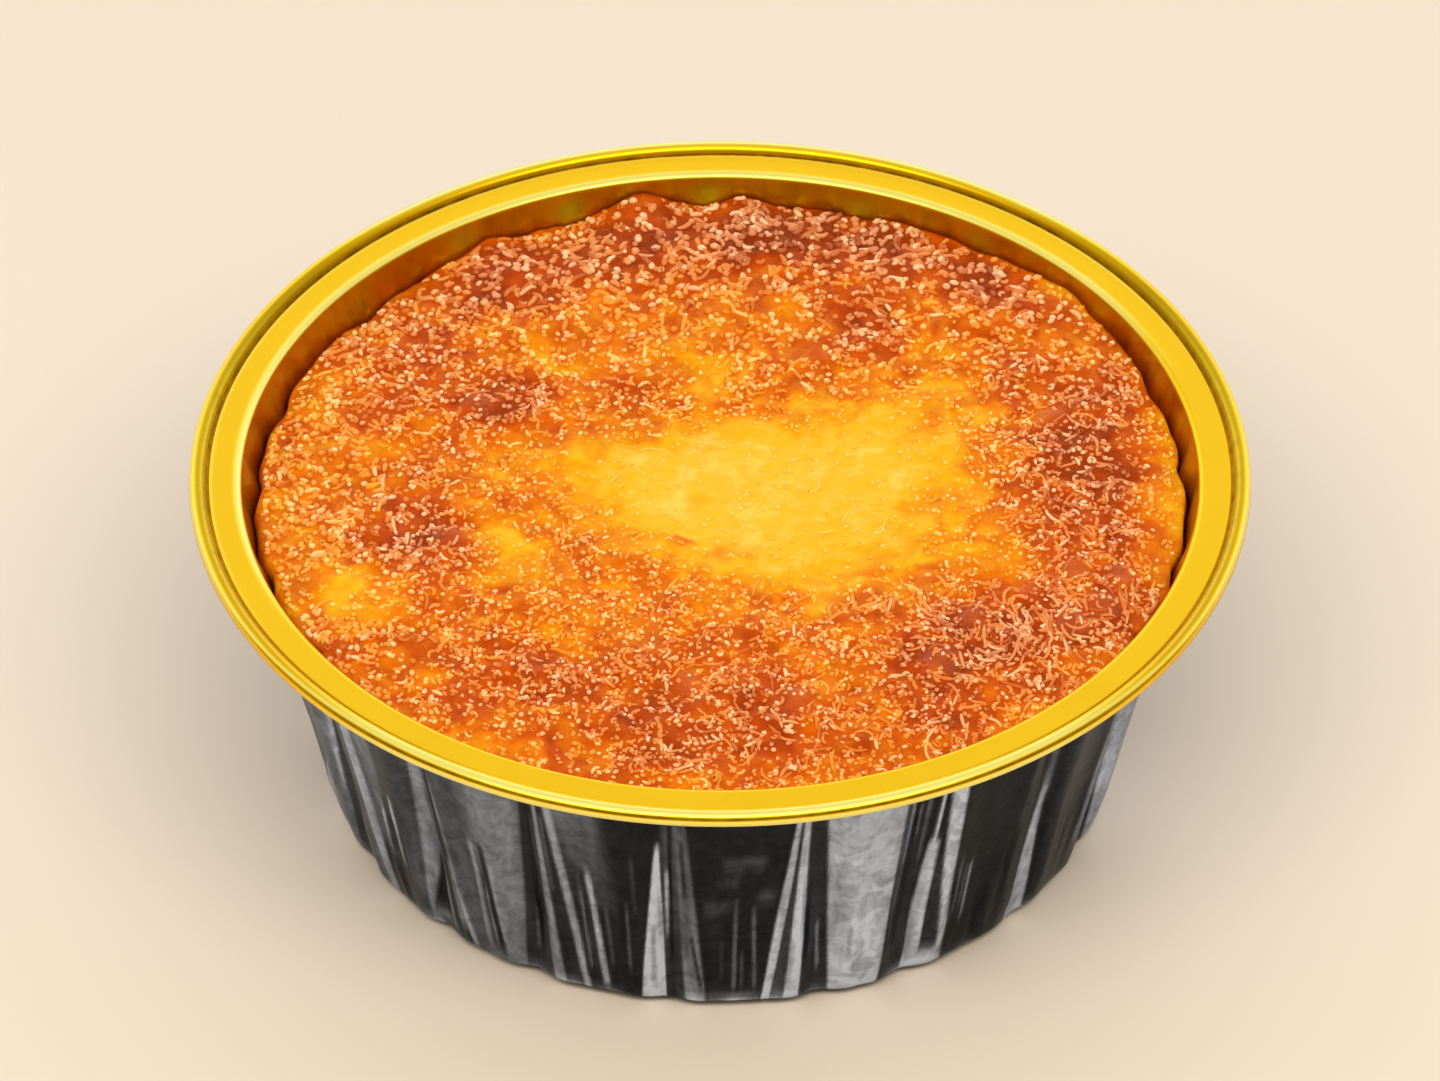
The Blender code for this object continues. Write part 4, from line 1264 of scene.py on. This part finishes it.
def bent_tubes(lines, thick):
    """(points, triangles) of tubes with pointed ends round the middle lines, half sunk in the crust.

    A tube's radius is its thickness times the square root of a sine that falls off at both ends.
    """
    line_x, line_y, heading = lines
    knots = line_x.shape[1]
    pull = fit_inside(line_x, line_y, TUBE_MARGIN)
    line_x = line_x * pull
    line_y = line_y * pull
    line_z = crust_height(line_x, line_y) + LIFT * thick[:, None]
    swell = np.sqrt(np.sin(np.linspace(*TUBE_ENDS, knots) * math.pi))[None, :, None]
    around = (np.arange(TUBE_SIDES) * 2.0 * math.pi / TUBE_SIDES + math.pi / 2.0)[None, None, :]
    sideways = np.cos(around) * thick[:, None, None] * swell
    tube_x = line_x[:, :, None] - np.sin(heading)[:, :, None] * sideways
    tube_y = line_y[:, :, None] + np.cos(heading)[:, :, None] * sideways
    tube_z = line_z[:, :, None] + np.sin(around) * thick[:, None, None] * swell
    tube = np.stack([tube_x, tube_y, tube_z], axis=3).reshape(len(thick), -1, 3)
    tips = np.stack([line_x, line_y, line_z], axis=2)[:, [0, -1]]
    ends = heading[:, [0, -1]]
    reach = TIP_REACH * thick[:, None] * np.array([-1.0, 1.0])
    tips[:, :, 0] += reach * np.cos(ends)
    tips[:, :, 1] += reach * np.sin(ends)
    quads = closed_grid_faces(knots, TUBE_SIDES)
    here = np.arange(TUBE_SIDES)
    after = (here + 1) % TUBE_SIDES
    last = (knots - 1) * TUBE_SIDES
    tip = np.full(TUBE_SIDES, knots * TUBE_SIDES)
    first_cap = np.stack([after, here, tip], axis=1)
    last_cap = np.stack([last + here, last + after, tip + 1], axis=1)
    triangles = np.concatenate([quads[:, [0, 1, 2]], quads[:, [0, 2, 3]], first_cap, last_cap])
    return np.concatenate([tube, tips], axis=1), triangles


def icosahedron():
    """(corners, triangles) of a regular icosahedron of radius 1, from three crossed golden rectangles."""
    golden = (1.0 + math.sqrt(5.0)) / 2.0
    ends = [(0, side, end * golden) for side in (-1, 1) for end in (-1, 1)]
    corners = np.array([np.roll(end, turn) for turn in range(3) for end in ends]) / math.hypot(1.0, golden)
    near = np.linalg.norm(corners[:, None] - corners[None], axis=2) < 1.1
    triangles = np.array([three for three in combinations(range(12), 3) if near[np.ix_(three, three)].all()])
    inward = np.linalg.det(corners[triangles]) < 0.0
    triangles[inward] = triangles[inward][:, [0, 2, 1]]
    return corners, triangles


def join_copies(name, points, triangles, x, y, tints):
    """One mesh of many small pieces, each with the browning of its place and its own tint."""
    count, per_piece = points.shape[:2]
    faces = triangles[None] + (np.arange(count) * per_piece)[:, None, None]
    values = {"bake": np.repeat(browning(x, y), per_piece), "tint": np.repeat(tints, per_piece)}
    return make_mesh(name, points.reshape(-1, 3), faces.reshape(-1, 3), values)


def build_shreds(count):
    """Long shreds that curve round the crust's lumps."""
    draw = np.random.default_rng(SHRED_SEED)
    x, y = scatter(draw, count, shred_density, SHRED_MARGIN)
    length = draw.uniform(*SHRED_LENGTHS, count) * MM
    bend = draw.normal(0.0, SHRED_BEND, count)
    thick = draw.uniform(*SHRED_THICKNESS, count) * MM * local_size(x, y)
    lines = middle_lines(x, y, length, bend, SHRED_SPREAD, SHRED_KNOTS, draw)
    return join_copies("semolina_shreds", *bent_tubes(lines, thick), x, y, draw.beta(*SHRED_TINTS, count))


def build_kernels(count):
    """Short kernels, straight or curled, lying every way."""
    draw = np.random.default_rng(KERNEL_SEED)
    x, y = scatter(draw, count, kernel_density, KERNEL_MARGIN)
    length = draw.uniform(*KERNEL_LENGTHS, count) * MM * local_size(x, y)
    bend = draw.normal(0.0, KERNEL_BEND, count)
    thick = draw.uniform(*KERNEL_THICKNESS, count) * MM * local_size(x, y)
    lines = middle_lines(x, y, length, bend, KERNEL_SPREAD, KERNEL_KNOTS, draw)
    return join_copies("semolina_kernels", *bent_tubes(lines, thick), x, y, draw.beta(*KERNEL_TINTS, count))


def build_grains(count):
    """Small round grains half sunk in the crust: squashed, turned icosahedra."""
    draw = np.random.default_rng(GRAIN_SEED)
    x, y = scatter(draw, count, grain_density, GRAIN_MARGIN)
    corners, triangles = icosahedron()
    size = draw.uniform(*GRAIN_SIZES, count) * MM * local_size(x, y)
    stretch = draw.uniform(*GRAIN_STRETCHES, count)
    heading = draw.uniform(0.0, math.pi, count)
    local_x = corners[None, :, 0] * (size * stretch)[:, None]
    local_y = corners[None, :, 1] * (size / stretch)[:, None]
    cosine = np.cos(heading)[:, None]
    sine = np.sin(heading)[:, None]
    place_x = x[:, None] + cosine * local_x - sine * local_y
    place_y = y[:, None] + sine * local_x + cosine * local_y
    middle = (crust_height(x, y) + LIFT * size)[:, None]
    place_z = middle + corners[None, :, 2] * (GRAIN_FLATNESS * size)[:, None]
    points = np.stack([place_x, place_y, place_z], axis=2)
    return join_copies("semolina_grains", points, triangles, x, y, draw.beta(*GRAIN_TINTS, count))


# --- settings a user would change ---------------------------------------------------------------------


class CupSettings(bpy.types.PropertyGroup):
    front_columns: bpy.props.IntProperty(
        name="Front columns",
        description="Points round the cup's front half",
        default=FRONT_COLUMNS,
        min=80,
        max=690,
    )
    back_columns: bpy.props.IntProperty(
        name="Back columns",
        description="Points round the cup's back half",
        default=BACK_COLUMNS,
        min=80,
        max=300,
    )


class CakeSettings(bpy.types.PropertyGroup):
    cells: bpy.props.IntProperty(
        name="Cells",
        description="Cells along one side of the crust's grid",
        default=CRUST_CELLS,
        min=40,
        max=300,
    )
    shreds: bpy.props.IntProperty(
        name="Shreds", description="Long curved shreds on the crust", default=560, min=1, max=2800
    )
    kernels: bpy.props.IntProperty(
        name="Kernels", description="Short kernels on the crust", default=3400, min=1, max=3950
    )
    grains: bpy.props.IntProperty(
        name="Grains", description="Round grains on the crust", default=8000, min=1, max=9900
    )


class StageSettings(bpy.types.PropertyGroup):
    floor_colour: bpy.props.FloatVectorProperty(
        name="Floor colour",
        description="Colour of the floor",
        subtype="COLOR",
        default=display_colour(*FLOOR_COLOUR)[:3],
    )
    elevation: bpy.props.FloatProperty(
        name="Elevation",
        description="Camera's angle above the floor",
        default=math.radians(CAMERA_ELEVATION),
        subtype="ANGLE",
    )
    distance: bpy.props.FloatProperty(
        name="Distance",
        description="Camera's distance from the cup",
        default=CAMERA_DISTANCE,
        subtype="DISTANCE",
        unit="LENGTH",
    )
    aim_height: bpy.props.FloatProperty(
        name="Aim height",
        description="Height on the axis that the camera looks at",
        default=CAMERA_AIM_HEIGHT,
        unit="LENGTH",
    )
    lens: bpy.props.FloatProperty(
        name="Lens", description="Focal length in millimetres", default=CAMERA_LENS
    )


# --- operators ----------------------------------------------------------------------------------------


class BASBOUSA_OT_foil_cup(bpy.types.Operator):
    """Build the pleated foil cup in place of its solid"""

    bl_idname = "basbousa.foil_cup"
    bl_label = "Foil cup"

    def execute(self, context):
        mesh = build_cup(context.scene.basbousa_cup)
        cup = add_piece("foil_cup_shell", mesh, [gold_foil(), dark_foil()])
        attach(cup, "root")
        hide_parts("foil_cup")
        return {"FINISHED"}


class BASBOUSA_OT_cake(bpy.types.Operator):
    """Build the cake with its crust in place of its solid"""

    bl_idname = "basbousa.cake"
    bl_label = "Cake"

    def execute(self, context):
        cake = add_piece("cake_crust", build_crust(context.scene.basbousa_cake), [baked_crust()])
        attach(cake, "root")
        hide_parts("cake")
        return {"FINISHED"}


class BASBOUSA_OT_grains(bpy.types.Operator):
    """Lay the semolina's shreds, kernels and grains on the crust"""

    bl_idname = "basbousa.grains"
    bl_label = "Shreds and grains"

    def execute(self, context):
        settings = context.scene.basbousa_cake
        material = glazed_grain()
        shreds = add_piece("semolina_shreds", build_shreds(settings.shreds), [material])
        kernels = add_piece("semolina_kernels", build_kernels(settings.kernels), [material])
        grains = add_piece("semolina_grains", build_grains(settings.grains), [material])
        for piece in (shreds, kernels, grains):
            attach(piece, "root")
        return {"FINISHED"}


def soft_world():
    """Soft light from all round, warm in front and cool behind.

    Its strength is a weak glow that dims at the horizon, plus a bright band low behind that the rim mirrors.
    """
    world = bpy.data.worlds.new("soft_studio")
    world.use_nodes = True
    start = Wire(world.node_tree)
    direction = start.node("ShaderNodeTexCoord", {}, {}, "Generated")
    back, rise = (start.node("ShaderNodeSeparateXYZ", {}, {"Vector": direction}, axis) for axis in "YZ")
    band = rise.between(0.04, 0.2) * (1.0 - rise.between(0.4, 0.8))
    strength = rise.between(0.0, 0.3) * 0.42 + band * back.between(0.1, 0.8) * 1.2 + 0.1
    colour = back.between(-0.35, 0.35).mixed(WARM_FRONT, COOL_BACK)
    plug(world.node_tree.nodes["Background"], Color=colour, Strength=strength)
    return world


def add_softbox():
    """A soft rectangular light that faces the cup from above its front."""
    lamp = bpy.data.lights.new("softbox", "AREA")
    lamp.shape = "RECTANGLE"
    lamp.size, lamp.size_y = SOFTBOX_SIZE
    lamp.energy = SOFTBOX_POWER
    lamp.color = SOFTBOX_COLOUR
    holder = bpy.data.objects.new("softbox", lamp)
    holder.location = SOFTBOX_PLACE
    x, y, z = np.array(SOFTBOX_AIM) - np.array(SOFTBOX_PLACE)
    holder.rotation_euler = (math.atan2(math.hypot(x, y), -z), 0.0, math.atan2(-x, y))
    bpy.context.scene.collection.objects.link(holder)


def add_camera(settings):
    """The scene's camera, which looks at the cup's axis from the front and above."""
    lens = bpy.data.cameras.new("camera")
    lens.lens = settings.lens
    lens.clip_end = CAMERA_REACH
    camera = bpy.data.objects.new("camera", lens)
    flat = settings.distance * math.cos(settings.elevation)
    rise = settings.distance * math.sin(settings.elevation)
    camera.location = (0.0, -flat, settings.aim_height + rise)
    camera.rotation_euler = (math.pi / 2.0 - settings.elevation, 0.0, 0.0)
    bpy.context.scene.collection.objects.link(camera)
    bpy.context.scene.camera = camera


class BASBOUSA_OT_stage(bpy.types.Operator):
    """Set the floor, the soft lights and the camera"""

    bl_idname = "basbousa.stage"
    bl_label = "Stage"

    def execute(self, context):
        settings = context.scene.basbousa_stage
        half = FLOOR_SIDE / 2.0
        corners = np.array([(-half, -half, 0.0), (half, -half, 0.0), (half, half, 0.0), (-half, half, 0.0)])
        material, _, shader = start_material("floor")
        plug(shader, Base_Color=(*settings.floor_colour, 1.0), Roughness=0.9)
        floor = add_piece("floor", make_mesh("floor", corners, np.array([[0, 1, 2, 3]])), [material])
        context.scene.world = soft_world()
        add_softbox()
        add_camera(settings)
        context.scene.view_settings.view_transform = "Standard"
        return {"FINISHED"}


class BASBOUSA_PT_panel(bpy.types.Panel):
    """Lists the pieces and their settings"""

    bl_label = "Basbousa"
    bl_idname = "BASBOUSA_PT_panel"
    bl_space_type = "VIEW_3D"
    bl_region_type = "UI"
    bl_category = "Basbousa"

    def draw(self, context):
        for operator in OPERATORS:
            self.layout.operator(operator.bl_idname)
        for group in (context.scene.basbousa_cup, context.scene.basbousa_cake, context.scene.basbousa_stage):
            for label in group.__annotations__:
                self.layout.prop(group, label)


OPERATORS = (BASBOUSA_OT_foil_cup, BASBOUSA_OT_cake, BASBOUSA_OT_grains, BASBOUSA_OT_stage)
GROUPS = (CupSettings, CakeSettings, StageSettings)


def register():
    """Makes the settings, operators and panel known to Blender."""
    for group in (*GROUPS, *OPERATORS, BASBOUSA_PT_panel):
        bpy.utils.register_class(group)
    bpy.types.Scene.basbousa_cup = bpy.props.PointerProperty(type=CupSettings)
    bpy.types.Scene.basbousa_cake = bpy.props.PointerProperty(type=CakeSettings)
    bpy.types.Scene.basbousa_stage = bpy.props.PointerProperty(type=StageSettings)


def unregister():
    """Takes them out again in reverse order."""
    del bpy.types.Scene.basbousa_stage
    del bpy.types.Scene.basbousa_cake
    del bpy.types.Scene.basbousa_cup
    for group in reversed((*GROUPS, *OPERATORS, BASBOUSA_PT_panel)):
        bpy.utils.unregister_class(group)


def main():
    """Builds all pieces and the stage."""
    register()
    bpy.ops.basbousa.foil_cup()
    bpy.ops.basbousa.cake()
    bpy.ops.basbousa.grains()
    bpy.ops.basbousa.stage()


if __name__ == "__main__":
    main()
